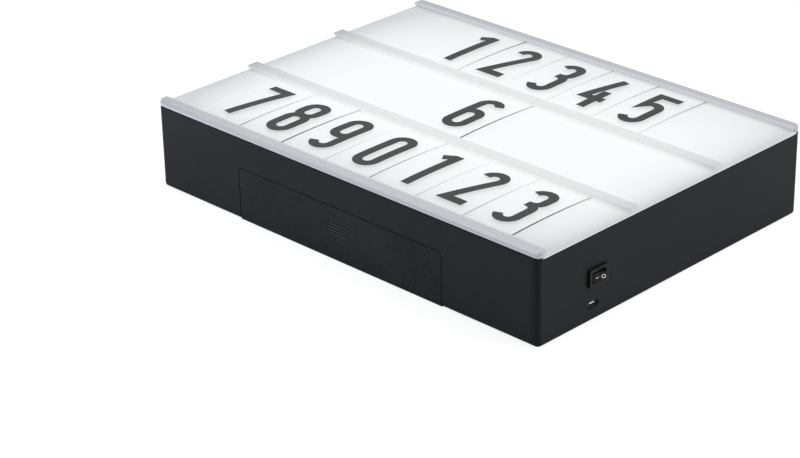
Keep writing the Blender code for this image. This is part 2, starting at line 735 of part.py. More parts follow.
def make_tiles():
    """The letter tiles in their three rows, each row centred on the box."""
    clear = finish("tile clear", (0.9, 0.92, 0.92), 0.15, alpha=0.35)
    mesh = tile_mesh(clear)
    counts = {"bottom": BOTTOM_TILE_COUNT, "middle": MIDDLE_TILE_COUNT, "top": TOP_TILE_COUNT}
    for row, (label, count) in enumerate(counts.items()):
        y = (row - (ROWS - 1) / 2) * ROW_PITCH
        for index in range(count):
            name = f"tile_{label}_{index + 1}"
            tile = bpy.data.objects.new(name, mesh)
            tile.location = ((index - (count - 1) / 2) * TILE_PITCH, y, TILE_BOTTOM)
            PARTS.objects.link(tile)
            sheet = tile.modifiers.new("Thickness", "SOLIDIFY")
            sheet.thickness = TILE_THICKNESS
            sheet.offset = 1.0


def make_door():
    """The battery door: a plate flush with the wall, a tongue behind the wall, and a foot across the back."""
    half = DOOR_WIDTH / 2
    plate = box((-half, DOOR_FACE, 0.0), (half, DOOR_TONGUE_FRONT + SINK, DOOR_HEIGHT))
    round_edges(plate, both(along(1), at(2, DOOR_HEIGHT)), DOOR_CORNER)
    round_edges(plate, both(at(1, DOOR_FACE), at(2, 0.0)), DOOR_LOWER_EDGE, SMALL_EDGE_SEGMENTS)
    black = finish("door black", (0.024, 0.027, 0.031), 0.5)
    door = place("battery_door", plate, black)
    low = (-DOOR_TONGUE_HALF, DOOR_TONGUE_FRONT, 0.0)
    tongue = box(low, (DOOR_TONGUE_HALF, DOOR_TONGUE_BACK, DOOR_HEIGHT + DOOR_TONGUE))
    foot = box(low, (DOOR_TONGUE_HALF, DOOR_FOOT_BACK, DOOR_FOOT))
    join(door, place("door_tongue", tongue, helper=True), place("door_foot", foot, helper=True))
    for index in range(GRIP_COUNT):
        z = GRIP_CENTRE_HEIGHT + (index - (GRIP_COUNT - 1) / 2) * GRIP_PITCH
        half = GRIP_LENGTH / 2
        groove = cylinder((DOOR_FACE, z), GRIP_GROOVE, -half, half, axis=0, segments=GROOVE_SEGMENTS)
        cut(door, place(f"cut_grip_{index + 1}", groove, helper=True))


def make_holder():
    """The open tub behind the door, with an ear at each end that is screwed to the housing."""
    tub = box((-HOLDER_HALF, HOLDER_FRONT, HOLDER_BOTTOM), (HOLDER_HALF, HOLDER_BACK, HOLDER_TOP))
    round_edges(tub, both(along(0), at(1, HOLDER_BACK)), HOLDER_WALL / 2, TINY_EDGE_SEGMENTS)
    holder = place("battery_holder", tub, finish("holder black", (0.03, 0.03, 0.03), 0.55))
    for side, label in ((-1, "left"), (1, "right")):
        inside, outside = side * (HOLDER_HALF - SINK), side * (HOLDER_HALF + HOLDER_EAR)
        low = (min(inside, outside), HOLDER_BACK - HOLDER_EAR_DEPTH, HOLDER_EAR_HEIGHT)
        high = (max(inside, outside), HOLDER_BACK - SINK, HOLDER_EAR_HEIGHT + HOLDER_EAR_THICKNESS)
        join(holder, place(f"ear_{label}", box(low, high), helper=True))
    cavity = box((-CAVITY_HALF, HOLDER_FRONT - PAST, CAVITY_BOTTOM), (CAVITY_HALF, CAVITY_BACK, CAVITY_TOP))
    cut(holder, place("cut_cavity", cavity, helper=True))
    reach = CONTACT_FACE - CONTACT_ROOM
    for index, (low_z, high_z) in enumerate(ridge_heights()):
        low, high = (-reach, CAVITY_BACK - HOLDER_RIDGE_DEPTH, low_z), (reach, CAVITY_BACK + SINK, high_z)
        join(holder, place(f"ridge_{index + 1}", box(low, high), helper=True))
    for index, centre in enumerate(holder_screws()):
        hole = cylinder(centre, SCREW_SHANK_RADIUS + FIT, 0.0, HOLDER_TOP, segments=HOLE_SEGMENTS)
        cut(holder, place(f"cut_ear_{index + 1}", hole, helper=True))
    for layer in range(CELL_LAYERS):
        z = layer_height(layer)
        slot = (CONTACT_TAIL_WIDTH / 2 + FIT, CONTACT_THICKNESS / 2 + FIT)
        low = (CAVITY_HALF - PAST, CELL_Y - slot[0], z - slot[1])
        high = (HOLDER_HALF + PAST, CELL_Y + slot[0], z + slot[1])
        cut(holder, place(f"cut_tail_{layer + 1}", box(low, high), helper=True))


def layer_height(layer):
    return CAVITY_BOTTOM + FIT + CELL_DIAMETER / 2 + layer * (CELL_DIAMETER + FIT)


def ridge_heights():
    """The lower and upper side of each ridge that keeps two lines of cells apart."""
    middles = [(layer_height(layer) + layer_height(layer + 1)) / 2 for layer in range(CELL_LAYERS - 1)]
    return [(middle - HOLDER_RIDGE / 2, middle + HOLDER_RIDGE / 2) for middle in middles]


def make_cells():
    """The cells: the lower line points to the left, the upper line to the right."""
    radius, half = CELL_DIAMETER / 2, CELL_LENGTH / 2
    shoulder = half - CELL_NUB_LENGTH
    profile = [
        (0.0, half),
        (CELL_NUB_DIAMETER / 2, half),
        (CELL_NUB_DIAMETER / 2, shoulder),
        (radius - CELL_EDGE, shoulder),
        (radius, shoulder - CELL_EDGE),
        (radius, -half + CELL_EDGE),
        (radius - CELL_EDGE, -half),
        (0.0, -half),
    ]
    jacket = finish("cell jacket", (0.05, 0.055, 0.06), 0.35, 0.3)
    shift = (SPRING_ROOM - CONTACT_ROOM) / 2
    first = None
    for layer in range(CELL_LAYERS):
        towards = 1 if layer % 2 else -1
        for index in range(CELLS_IN_LINE):
            name = f"battery_{layer * CELLS_IN_LINE + index + 1}"
            cell = turned(name, profile, jacket)
            if first:
                cell.data = first.data
            first = first or cell
            x = (index - (CELLS_IN_LINE - 1) / 2) * (CELL_LENGTH + FIT) + towards * shift
            cell.location = (x, CELL_Y, layer_height(layer))
            cell.rotation_euler = (0.0, towards * math.pi / 2, 0.0)


def contact_plate(name, side, low, high, material):
    """A sprung metal plate against the end wall of the holder."""
    inner, outer = side * CONTACT_FACE, side * (CONTACT_FACE + CONTACT_THICKNESS)
    half = CONTACT_WIDTH / 2
    plate = box((min(inner, outer), CELL_Y - half, low), (max(inner, outer), CELL_Y + half, high))
    return place(name, plate, material)


def make_contacts():
    """A plate that bridges both lines at the left, a plate with a solder tail for each line at the right."""
    metal = finish("contact metal", (0.62, 0.62, 0.6), 0.3, 1.0)
    half = CONTACT_WIDTH / 2
    low, high = layer_height(0), layer_height(CELL_LAYERS - 1)
    contact_plate("contact_bridge", -1, low - half, high + half, metal)
    for layer, name in ((0, "contact_negative"), (CELL_LAYERS - 1, "contact_positive")):
        z = layer_height(layer)
        plate = contact_plate(name, 1, z - half, z + half, metal)
        start = CONTACT_FACE + SINK
        tail = box(
            (start, CELL_Y - CONTACT_TAIL_WIDTH / 2, z - CONTACT_THICKNESS / 2),
            (HOLDER_HALF + CONTACT_TAIL, CELL_Y + CONTACT_TAIL_WIDTH / 2, z + CONTACT_THICKNESS / 2),
        )
        join(plate, place(f"tail_{name}", tail, helper=True))


def make_springs():
    """A coil spring at the flat end of each line of cells."""
    steel = finish("spring steel", (0.6, 0.6, 0.6), 0.25, 1.0)
    length = SPRING_ROOM - 2 * FIT - 2 * SPRING_WIRE
    steps = int(SPRING_TURNS * SPRING_POINTS_PER_TURN)
    for layer, side, name in ((0, 1, "spring_negative"), (CELL_LAYERS - 1, -1, "spring_bridge")):
        path = []
        for step in range(steps + 1):
            share = step / steps
            angle = share * SPRING_TURNS * 2 * math.pi
            x = side * (CONTACT_FACE - FIT - SPRING_WIRE - share * length)
            y = CELL_Y + SPRING_RADIUS * math.cos(angle)
            path.append((x, y, layer_height(layer) + SPRING_RADIUS * math.sin(angle)))
        tube(name, path, SPRING_WIRE, steel)


def switch_wing(side):
    """A wedge behind the wall on one side of the switch, which keeps it in its cut-out."""
    root = SWITCH_BODY_WIDTH / 2 - SINK
    tip = SWITCH_BODY_WIDTH / 2 + SWITCH_WING_RISE
    front = END_X - WALL - FIT
    points = [(front, root), (front, tip), (front - SWITCH_WING_LENGTH, root)]
    outline = [(x, SWITCH_HEIGHT + side * z) for x, z in points]
    return prism(outline, 1, SWITCH_Y - SWITCH_WING_WIDTH / 2, SWITCH_Y + SWITCH_WING_WIDTH / 2)


def make_switch_body():
    """The switch: a bezel on the outside of the wall and a body through the cut-out."""
    low = (SWITCH_Y - BEZEL_LENGTH / 2, SWITCH_HEIGHT - BEZEL_WIDTH / 2)
    high = (SWITCH_Y + BEZEL_LENGTH / 2, SWITCH_HEIGHT + BEZEL_WIDTH / 2)
    bezel = prism(rounded_outline(low, high, BEZEL_CORNER, SMALL_EDGE_SEGMENTS), 0, END_X + FIT, BEZEL_FACE)
    round_edges(bezel, at(0, BEZEL_FACE), BEZEL_CORNER / 2, TINY_EDGE_SEGMENTS)
    switch = place("switch_body", bezel, finish("switch black", (0.012, 0.012, 0.013), 0.3))
    body_half = (SWITCH_BODY_LENGTH / 2, SWITCH_BODY_WIDTH / 2)
    body = box(
        (SWITCH_BACK, SWITCH_Y - body_half[0], SWITCH_HEIGHT - body_half[1]),
        (END_X + FIT + SINK, SWITCH_Y + body_half[0], SWITCH_HEIGHT + body_half[1]),
    )
    join(switch, place("switch_block", body, helper=True))
    for side, label in ((-1, "lower"), (1, "upper")):
        join(switch, place(f"switch_wing_{label}", switch_wing(side), helper=True))
    well_half = (ROCKER_LENGTH / 2 + RUNNING_FIT, ROCKER_WIDTH / 2 + RUNNING_FIT)
    well = box(
        (PIVOT_X - ROCKER_WELL, SWITCH_Y - well_half[0], SWITCH_HEIGHT - well_half[1]),
        (BEZEL_FACE + PAST, SWITCH_Y + well_half[0], SWITCH_HEIGHT + well_half[1]),
    )
    cut(switch, place("cut_rocker_well", well, helper=True))
    reach = ROCKER_WIDTH / 2 + ROCKER_PIN_LENGTH + RUNNING_FIT
    low, high = SWITCH_HEIGHT - reach, SWITCH_HEIGHT + reach
    bore = cylinder((PIVOT_X, SWITCH_Y), ROCKER_PIN_RADIUS + RUNNING_FIT, low, high, segments=HOLE_SEGMENTS)
    cut(switch, place("cut_rocker_pins", bore, helper=True))


def rocker_outline():
    """The rocker seen along its pin, as (x, y) about the pivot: one half is flush, the other stands up."""
    top = ROCKER_PIVOT_DEPTH - ROCKER_BELOW_BEZEL
    half = ROCKER_LENGTH / 2
    valley = (top, -top * math.tan(ROCKER_SWING / 2))
    flush = [(top, -half), (-ROCKER_SKIRT, -half)]
    turn_x, turn_y = math.cos(ROCKER_SWING), math.sin(ROCKER_SWING)
    raised = [(x * turn_x - y * turn_y, -x * turn_y - y * turn_x) for x, y in flush]
    hub_start, hub_end = math.pi - ROCKER_HUB_HALF_ARC, math.pi + ROCKER_HUB_HALF_ARC
    hub = arc((0.0, 0.0), ROCKER_SKIRT + SINK, hub_start, hub_end, EDGE_SEGMENTS)
    return [valley, *flush, *reversed(hub), *reversed(raised)]


def make_rocker():
    """The rocker, whose object stands on its hinge axis."""
    bm = prism(rocker_outline(), 2, -ROCKER_WIDTH / 2, ROCKER_WIDTH / 2)
    rocker = place("switch_rocker", bm, finish("rocker black", (0.014, 0.014, 0.015), 0.35))
    rocker.location = (PIVOT_X, SWITCH_Y, SWITCH_HEIGHT)
    reach = ROCKER_WIDTH / 2 + ROCKER_PIN_LENGTH
    bar = cylinder((0.0, 0.0), ROCKER_PIN_RADIUS, -reach, reach, segments=HOLE_SEGMENTS)
    pin = place("rocker_pin", bar, helper=True)
    pin.location = rocker.location
    join(rocker, pin)


def make_terminals():
    brass = finish("terminal brass", (0.6, 0.5, 0.3), 0.35, 1.0)
    for index, side in enumerate((-1, 1)):
        y = SWITCH_Y + side * TERMINAL_SPACING / 2
        low = (TERMINAL_TIP, y - TERMINAL_THICKNESS / 2, SWITCH_HEIGHT - TERMINAL_WIDTH / 2)
        high = (SWITCH_BACK - FIT, y + TERMINAL_THICKNESS / 2, SWITCH_HEIGHT + TERMINAL_WIDTH / 2)
        blade = box(low, high)
        round_edges(blade, both(along(1), at(0, TERMINAL_TIP)), TERMINAL_CORNER, TINY_EDGE_SEGMENTS)
        place(f"switch_terminal_{index + 1}", blade, brass)


def socket_outline(inset):
    """The socket's section: a flat top and sides that lean in at the bottom."""
    half = SOCKET_WIDTH / 2 - inset
    top, bottom = INLET_HEIGHT + SOCKET_HEIGHT / 2 - inset, INLET_HEIGHT - SOCKET_HEIGHT / 2 + inset
    return [
        (INLET_Y - half, top),
        (INLET_Y - half, bottom + SOCKET_LEAN),
        (INLET_Y - half + SOCKET_LEAN, bottom),
        (INLET_Y + half - SOCKET_LEAN, bottom),
        (INLET_Y + half, bottom + SOCKET_LEAN),
        (INLET_Y + half, top),
    ]


def make_inlet():
    """The power inlet: a board on two bosses, the metal socket on it and the tongue inside the socket."""
    green = finish("board green", (0.02, 0.12, 0.05), 0.4)
    steel = finish("socket steel", (0.7, 0.7, 0.7), 0.25, 1.0)
    low = (BOARD_START, INLET_Y - BOARD_WIDTH / 2, BOARD_BOTTOM)
    high = (BOARD_END, INLET_Y + BOARD_WIDTH / 2, BOARD_TOP)
    board = place("usb_board", box(low, high), green)
    for index, centre in enumerate(board_screws()):
        start, end = BOARD_BOTTOM - PAST, BOARD_TOP + PAST
        hole = cylinder(centre, SCREW_SHANK_RADIUS + FIT, start, end, segments=HOLE_SEGMENTS)
        cut(board, place(f"cut_board_{index + 1}", hole, helper=True))
    rear = SOCKET_MOUTH - SOCKET_DEPTH
    socket = place("usb_socket", prism(socket_outline(0.0), 0, rear, SOCKET_MOUTH), steel)
    mouth = prism(socket_outline(SOCKET_SHELL), 0, rear + SOCKET_SHELL, SOCKET_MOUTH + PAST)
    cut(socket, place("cut_socket", mouth, helper=True))
    z = INLET_HEIGHT + SOCKET_HEIGHT / 2 - SOCKET_SHELL - FIT - TONGUE_THICKNESS
    tongue = box(
        (rear + SOCKET_SHELL + FIT, INLET_Y - TONGUE_WIDTH / 2, z),
        (SOCKET_MOUTH - INLET_RECESS, INLET_Y + TONGUE_WIDTH / 2, z + TONGUE_THICKNESS),
    )
    place("usb_tongue", tongue, finish("tongue black", (0.02, 0.02, 0.02), 0.5))


def reflector_ring(end_x, front, rear, height):
    """One level of the reflector, counterclockwise."""
    return [(end_x, rear, height), (-end_x, rear, height), (-end_x, front, height), (end_x, front, height)]


def make_reflector():
    """The white tray that spreads the light: a flat floor, leaning ends and a front wall over the holder."""
    share = (REFLECTOR_SHOULDER - REFLECTOR_FLOOR_HEIGHT) / (REFLECTOR_TOP - REFLECTOR_FLOOR_HEIGHT)
    shoulder_x = FLOOR_X + share * (RIM_X - FLOOR_X)
    shoulder_rear = FLOOR_REAR + share * (RIM_Y - FLOOR_REAR)
    levels = [
        reflector_ring(FLOOR_X, FLOOR_FRONT, FLOOR_REAR, REFLECTOR_FLOOR_HEIGHT),
        reflector_ring(shoulder_x, SHOULDER_FRONT, shoulder_rear, REFLECTOR_SHOULDER),
        reflector_ring(RIM_X, -RIM_Y, RIM_Y, REFLECTOR_TOP),
    ]
    bm = bmesh.new()
    rings = [[bm.verts.new(point) for point in level] for level in levels]
    bm.faces.new(rings[0])
    for lower, upper in zip(rings, rings[1:]):
        for index in range(4):
            after = (index + 1) % 4
            bm.faces.new((lower[index], lower[after], upper[after], upper[index]))
    # The floor's face has to look up, into the tray, so that the thickness grows inwards.
    mesh = bpy.data.meshes.new("reflector")
    bmesh.ops.recalc_face_normals(bm, faces=bm.faces[:])
    bm.faces.ensure_lookup_table()
    if bm.faces[0].normal.z < 0:
        bmesh.ops.reverse_faces(bm, faces=bm.faces[:])
    bm.to_mesh(mesh)
    bm.free()
    mesh.materials.append(finish("reflector white", (0.85, 0.85, 0.85), 0.6))
    reflector = bpy.data.objects.new("reflector", mesh)
    PARTS.objects.link(reflector)
    wall = reflector.modifiers.new("Wall", "SOLIDIFY")
    wall.thickness = REFLECTOR_THICKNESS
    wall.offset = 1.0
    for index, centre in enumerate(reflector_screws()):
        hole = cylinder(centre, SCREW_SHANK_RADIUS + FIT, FLOOR, STRIP_BOTTOM + PAST, segments=HOLE_SEGMENTS)
        cut(reflector, place(f"cut_reflector_{index + 1}", hole, helper=True))
    centre = (lead_hole_x(), strip_ys()[0])
    lead = cylinder(centre, LEAD_HOLE_RADIUS, FLOOR, STRIP_BOTTOM + PAST, segments=BOSS_SEGMENTS)
    cut(reflector, place("cut_lead_hole", lead, helper=True))


def lead_hole_x():
    return STRIP_LENGTH / 2 + LEAD_HOLE_FROM_STRIP


def make_strips():
    """Three boards along X on the reflector floor, each with a row of square emitters."""
    board = finish("strip board", (0.8, 0.8, 0.76), 0.4)
    for index, y in enumerate(strip_ys()):
        low = (-STRIP_LENGTH / 2, y - STRIP_WIDTH / 2, STRIP_BOTTOM)
        high = (STRIP_LENGTH / 2, y + STRIP_WIDTH / 2, STRIP_BOTTOM + STRIP_THICKNESS)
        strip = place(f"led_strip_{index + 1}", box(low, high), board)
        leds = bmesh.new()
        top = STRIP_BOTTOM + STRIP_THICKNESS + LED_HEIGHT
        for led in range(LED_COUNT):
            x = (led - (LED_COUNT - 1) / 2) * STRIP_LENGTH / LED_COUNT
            middle = Matrix.Translation((x, y, top - (LED_HEIGHT + SINK) / 2))
            size = Matrix.Diagonal((LED_SIZE, LED_SIZE, LED_HEIGHT + SINK, 1.0))
            bmesh.ops.create_cube(leds, size=1.0, matrix=middle @ size)
        join(strip, place(f"leds_{index + 1}", leds, helper=True))


def wire(name, route, material, radius=WIRE_RADIUS):
    tube(name, smooth_path(route), radius, material)


def make_wires():
    """The wires between cells, switch, inlet and first strip, and the leads between strips."""
    red = finish("wire red", (0.5, 0.03, 0.03), 0.45)
    black = finish("wire black", (0.02, 0.02, 0.02), 0.45)
    white = finish("wire white", (0.75, 0.75, 0.73), 0.5)
    off = WIRE_RADIUS + FIT
    lane_z = (FLOOR + RIB_HEIGHT + REFLECTOR_FLOOR_HEIGHT) / 2 + FIT
    hole_x, hole_y = lead_hole_x(), strip_ys()[0]
    pad_x = STRIP_LENGTH / 2 + off
    pad_z = STRIP_BOTTOM + STRIP_THICKNESS / 2
    tail_x = HOLDER_HALF + CONTACT_TAIL + off
    entry_x = TERMINAL_TIP - off
    first_y, second_y = SWITCH_Y - TERMINAL_SPACING / 2, SWITCH_Y + TERMINAL_SPACING / 2
    high_z, low_z = SWITCH_HEIGHT + TERMINAL_WIDTH / 4, SWITCH_HEIGHT - TERMINAL_WIDTH / 4
    board_x = BOARD_START - off
    board_z = BOARD_TOP + off
    corner_y = CELL_Y + 2 * off
    clear = 4 * WIRE_RADIUS
    ear_end = HOLDER_HALF + HOLDER_EAR
    boss_side = FLOOR_X - REFLECTOR_SCREW_INSET + BOSS_RADIUS + 2 * clear

    wire(
        "wire_battery_positive",
        [
            (tail_x, CELL_Y, layer_height(1)),
            (tail_x + clear, CELL_Y, layer_height(1)),
            ((tail_x + entry_x) / 2, corner_y, high_z),
            (entry_x + clear / 2, corner_y + clear, high_z),
            (entry_x + clear / 4, (corner_y + first_y) / 2, high_z),
            (entry_x - clear / 4, first_y - clear, high_z),
            (entry_x, first_y, high_z),
        ],
        red,
    )
    wire(
        "wire_inlet_power",
        [
            (board_x, INLET_Y - WIRE_SPREAD, board_z),
            (board_x - clear / 2, INLET_Y - WIRE_SPREAD - clear, board_z + clear),
            (entry_x, first_y - 2 * clear, low_z - clear),
            (entry_x, first_y - off / 2, low_z),
        ],
        red,
    )
    wire(
        "wire_switch_to_strip",
        [
            (entry_x, second_y, SWITCH_HEIGHT),
            (entry_x - clear / 2, second_y + clear, SWITCH_HEIGHT - clear),
            (board_x - clear, second_y + 2 * clear, board_z + clear),
            (board_x - 3 * clear, second_y + 2 * clear, lane_z),
            (hole_x + 2 * clear, hole_y + WIRE_SPREAD, lane_z),
            (hole_x, hole_y + WIRE_SPREAD, (lane_z + pad_z) / 2),
            (pad_x + off, hole_y + WIRE_SPREAD, pad_z + off),
            (pad_x, hole_y + WIRE_SPREAD, pad_z),
        ],
        white,
    )
    wire(
        "wire_battery_negative",
        [
            (tail_x, CELL_Y, layer_height(0)),
            (tail_x + clear, CELL_Y, layer_height(0)),
            (ear_end + clear, CELL_Y + clear / 2, (layer_height(0) + lane_z) / 2),
            (ear_end + 3 * clear, HOLDER_BACK, lane_z),
            (boss_side, FLOOR_FRONT + REFLECTOR_SCREW_INSET, lane_z),
            (hole_x + clear, hole_y - clear, lane_z),
            (hole_x, hole_y - WIRE_SPREAD, (lane_z + pad_z) / 2),
            (pad_x + off, hole_y - WIRE_SPREAD, pad_z + off),
            (pad_x, hole_y - WIRE_SPREAD, pad_z),
        ],
        black,
    )
    wire(
        "wire_inlet_ground",
        [
            (board_x, INLET_Y + WIRE_SPREAD, board_z),
            (board_x - clear, INLET_Y + WIRE_SPREAD, (board_z + lane_z) / 2),
            (hole_x + 3 * clear, hole_y, lane_z),
            (hole_x, hole_y, (lane_z + pad_z) / 2),
            (pad_x + off, hole_y, pad_z + off),
            (pad_x, hole_y, pad_z),
        ],
        black,
    )
    ys = strip_ys()
    for index, (start, end) in enumerate(zip(ys, ys[1:])):
        x = -STRIP_LENGTH / 2 - STRIP_LEAD_RADIUS - FIT
        out = x - 2 * clear
        z = STRIP_BOTTOM + STRIP_LEAD_RADIUS
        start, end = start + STRIP_WIDTH / 4, end - STRIP_WIDTH / 4
        turns = [(out, start + clear, z), (out, (start + end) / 2, z), (out, end - clear, z)]
        wire(f"strip_lead_{index + 1}", [(x, start, z), *turns, (x, end, z)], white, STRIP_LEAD_RADIUS)


def make_screw(name, centre, seat, length, material):
    """A round-head screw whose head stands on a seat."""
    under = seat + FIT
    top = under + SCREW_HEAD_HEIGHT
    profile = [
        (0.0, top),
        (SCREW_HEAD_FLAT_RADIUS, top),
        (SCREW_HEAD_RADIUS, under + SCREW_HEAD_HEIGHT / 2),
        (SCREW_HEAD_RADIUS, under),
        (SCREW_SHANK_RADIUS, under),
        (SCREW_SHANK_RADIUS, under - length),
        (0.0, under - length),
    ]
    screw = turned(name, profile, material, SCREW_SEGMENTS)
    screw.location = (*centre, 0.0)


def make_screws():
    steel = finish("screw steel", (0.5, 0.5, 0.5), 0.3, 1.0)
    for index, centre in enumerate(reflector_screws()):
        make_screw(f"screw_reflector_{index + 1}", centre, REFLECTOR_FLOOR_TOP, SCREW_LENGTH, steel)
    for index, centre in enumerate(holder_screws()):
        ear_top = HOLDER_EAR_HEIGHT + HOLDER_EAR_THICKNESS
        make_screw(f"screw_holder_{index + 1}", centre, ear_top, SCREW_LENGTH, steel)
    for index, centre in enumerate(board_screws()):
        make_screw(f"screw_board_{index + 1}", centre, BOARD_TOP, BOARD_SCREW_LENGTH, steel)


make_housing()
make_face_panel()
make_rails()
make_tiles()
make_door()
make_holder()
make_cells()
make_contacts()
make_springs()
make_switch_body()
make_rocker()
make_terminals()
make_inlet()
make_reflector()
make_strips()
make_wires()
make_screws()
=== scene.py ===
"""The looks of the marquee light box: finishes, printed characters and fine edges, in the CAD's own frame."""

import enum
import functools
import logging
import math
from collections.abc import Sequence
from dataclasses import dataclass, field

import bmesh
import bpy
from mathutils import Matrix, Vector


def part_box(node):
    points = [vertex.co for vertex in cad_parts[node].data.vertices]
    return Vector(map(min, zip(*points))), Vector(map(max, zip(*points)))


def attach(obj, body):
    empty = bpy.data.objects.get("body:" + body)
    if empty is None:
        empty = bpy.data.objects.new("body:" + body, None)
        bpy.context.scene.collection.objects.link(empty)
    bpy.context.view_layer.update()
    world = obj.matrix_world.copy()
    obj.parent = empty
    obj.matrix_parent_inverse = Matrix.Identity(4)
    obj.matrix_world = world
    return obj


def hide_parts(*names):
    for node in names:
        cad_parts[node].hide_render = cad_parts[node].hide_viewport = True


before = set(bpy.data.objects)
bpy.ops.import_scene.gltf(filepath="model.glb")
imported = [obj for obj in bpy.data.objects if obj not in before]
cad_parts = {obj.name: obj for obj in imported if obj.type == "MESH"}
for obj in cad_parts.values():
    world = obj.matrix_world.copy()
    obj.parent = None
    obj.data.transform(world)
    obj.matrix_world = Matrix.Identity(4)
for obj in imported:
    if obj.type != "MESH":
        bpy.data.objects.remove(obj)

MM = 0.001
LOG = logging.getLogger("light_box")
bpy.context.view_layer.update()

Colour = tuple[float, float, float]
Point = tuple[float, float]
Place = tuple[float, float, float]
Stroke = tuple[list[Point], bool]

BLACK: Colour = (0.0, 0.0, 0.0)
WHITE: Colour = (1.0, 1.0, 1.0)


class Body(enum.Enum):
    """The rigid bodies that pieces ride on."""

    ROOT = "root"
    DOOR = "door"
    ROCKER = "rocker"


class Tree:
    """A node tree while it is built."""

    def __init__(self, tree: bpy.types.NodeTree) -> None:
        """Takes the tree that nodes are added to."""
        self.tree = tree

    def node(self, kind: str, settings: dict | None = None, inputs: dict | None = None) -> bpy.types.Node:
        """Adds any node.

        Args:
            kind: the node's type.
            settings: its properties, which are set before its inputs.
            inputs: socket names or numbers, each with a value or a link.

        Returns:
            The new node.
        """
        node = self.tree.nodes.new(kind)
        for name, value in (settings or {}).items():
            setattr(node, name, value)
        for name, value in (inputs or {}).items():
            self.feed(node.inputs[name], value)
        return node

    def feed(self, socket: bpy.types.NodeSocket, value: "Value") -> None:
        """Links a socket to a signal or another socket, or sets its value.

        Args:
            socket: the input socket.
            value: what it gets.
        """
        source = value.socket if isinstance(value, Signal) else value
        if isinstance(source, bpy.types.NodeSocket):
            self.tree.links.new(source, socket)
        else:
            socket.default_value = source

    def math(self, operation: str, *values: "Signal | float") -> "Signal":
        """Returns the result of one Math node on these values."""
        node = self.node("ShaderNodeMath", {"operation": operation}, dict(enumerate(values)))
        return Signal(self, node.outputs[0])

    def split(self, vector: bpy.types.NodeSocket) -> list["Signal"]:
        """Returns the three numbers of a vector."""
        node = self.node("ShaderNodeSeparateXYZ", inputs={0: vector})
        return [Signal(self, socket) for socket in node.outputs]

    def rays(self) -> list["Signal"]:
        """Returns whether a ray comes from the camera, from a glossy surface or through glass."""
        node = self.node("ShaderNodeLightPath")
        return [Signal(self, node.outputs[f"Is {kind} Ray"]) for kind in ("Camera", "Glossy", "Transmission")]


class Signal:
    """A number in a node tree; arithmetic on it adds Math nodes."""

    def __init__(self, tree: Tree, socket: bpy.types.NodeSocket) -> None:
        """Wraps one output socket of a tree."""
        self.tree = tree
        self.socket = socket

    def __add__(self, other: "Signal | float") -> "Signal":
        """Returns self plus other."""
        return self.tree.math("ADD", self, other)

    __radd__ = __add__

    def __sub__(self, other: "Signal | float") -> "Signal":
        """Returns self minus other."""
        return self.tree.math("SUBTRACT", self, other)

    def __rsub__(self, other: float) -> "Signal":
        """Returns other minus self."""
        return self.tree.math("SUBTRACT", other, self)

    def __mul__(self, other: "Signal | float") -> "Signal":
        """Returns self times other."""
        return self.tree.math("MULTIPLY", self, other)

    __rmul__ = __mul__

    def __truediv__(self, other: "Signal | float") -> "Signal":
        """Returns self divided by other."""
        return self.tree.math("DIVIDE", self, other)

    def __rtruediv__(self, other: float) -> "Signal":
        """Returns other divided by self."""
        return self.tree.math("DIVIDE", other, self)

    def __abs__(self) -> "Signal":
        """Returns the size of self without its sign."""
        return self.tree.math("ABSOLUTE", self)

    def fraction(self) -> "Signal":
        """Returns the part of self after the decimal point."""
        return self.tree.math("FRACT", self)

    def at_least(self, other: "Signal | float") -> "Signal":
        """Returns the larger of self and other."""
        return self.tree.math("MAXIMUM", self, other)

    def falloff(self, reach: float) -> "Signal":
        """Returns e to the power of -self / reach: 1 where self is 0."""
        return self.tree.math("EXPONENT", self * (-1.0 / reach))

    def within(self, low: float, high: float) -> "Signal":
        """Makes a smooth step.

        Args:
            low: the value of self up to which the step is 0.
            high: the value of self from which the step is 1.

        Returns:
            The step.
        """
        inputs = {"Value": self, "From Min": low, "From Max": high}
        node = self.tree.node("ShaderNodeMapRange", {"interpolation_type": "SMOOTHSTEP"}, inputs)
        return Signal(self.tree, node.outputs["Result"])


Value = Signal | bpy.types.NodeSocket | float | Sequence[float]


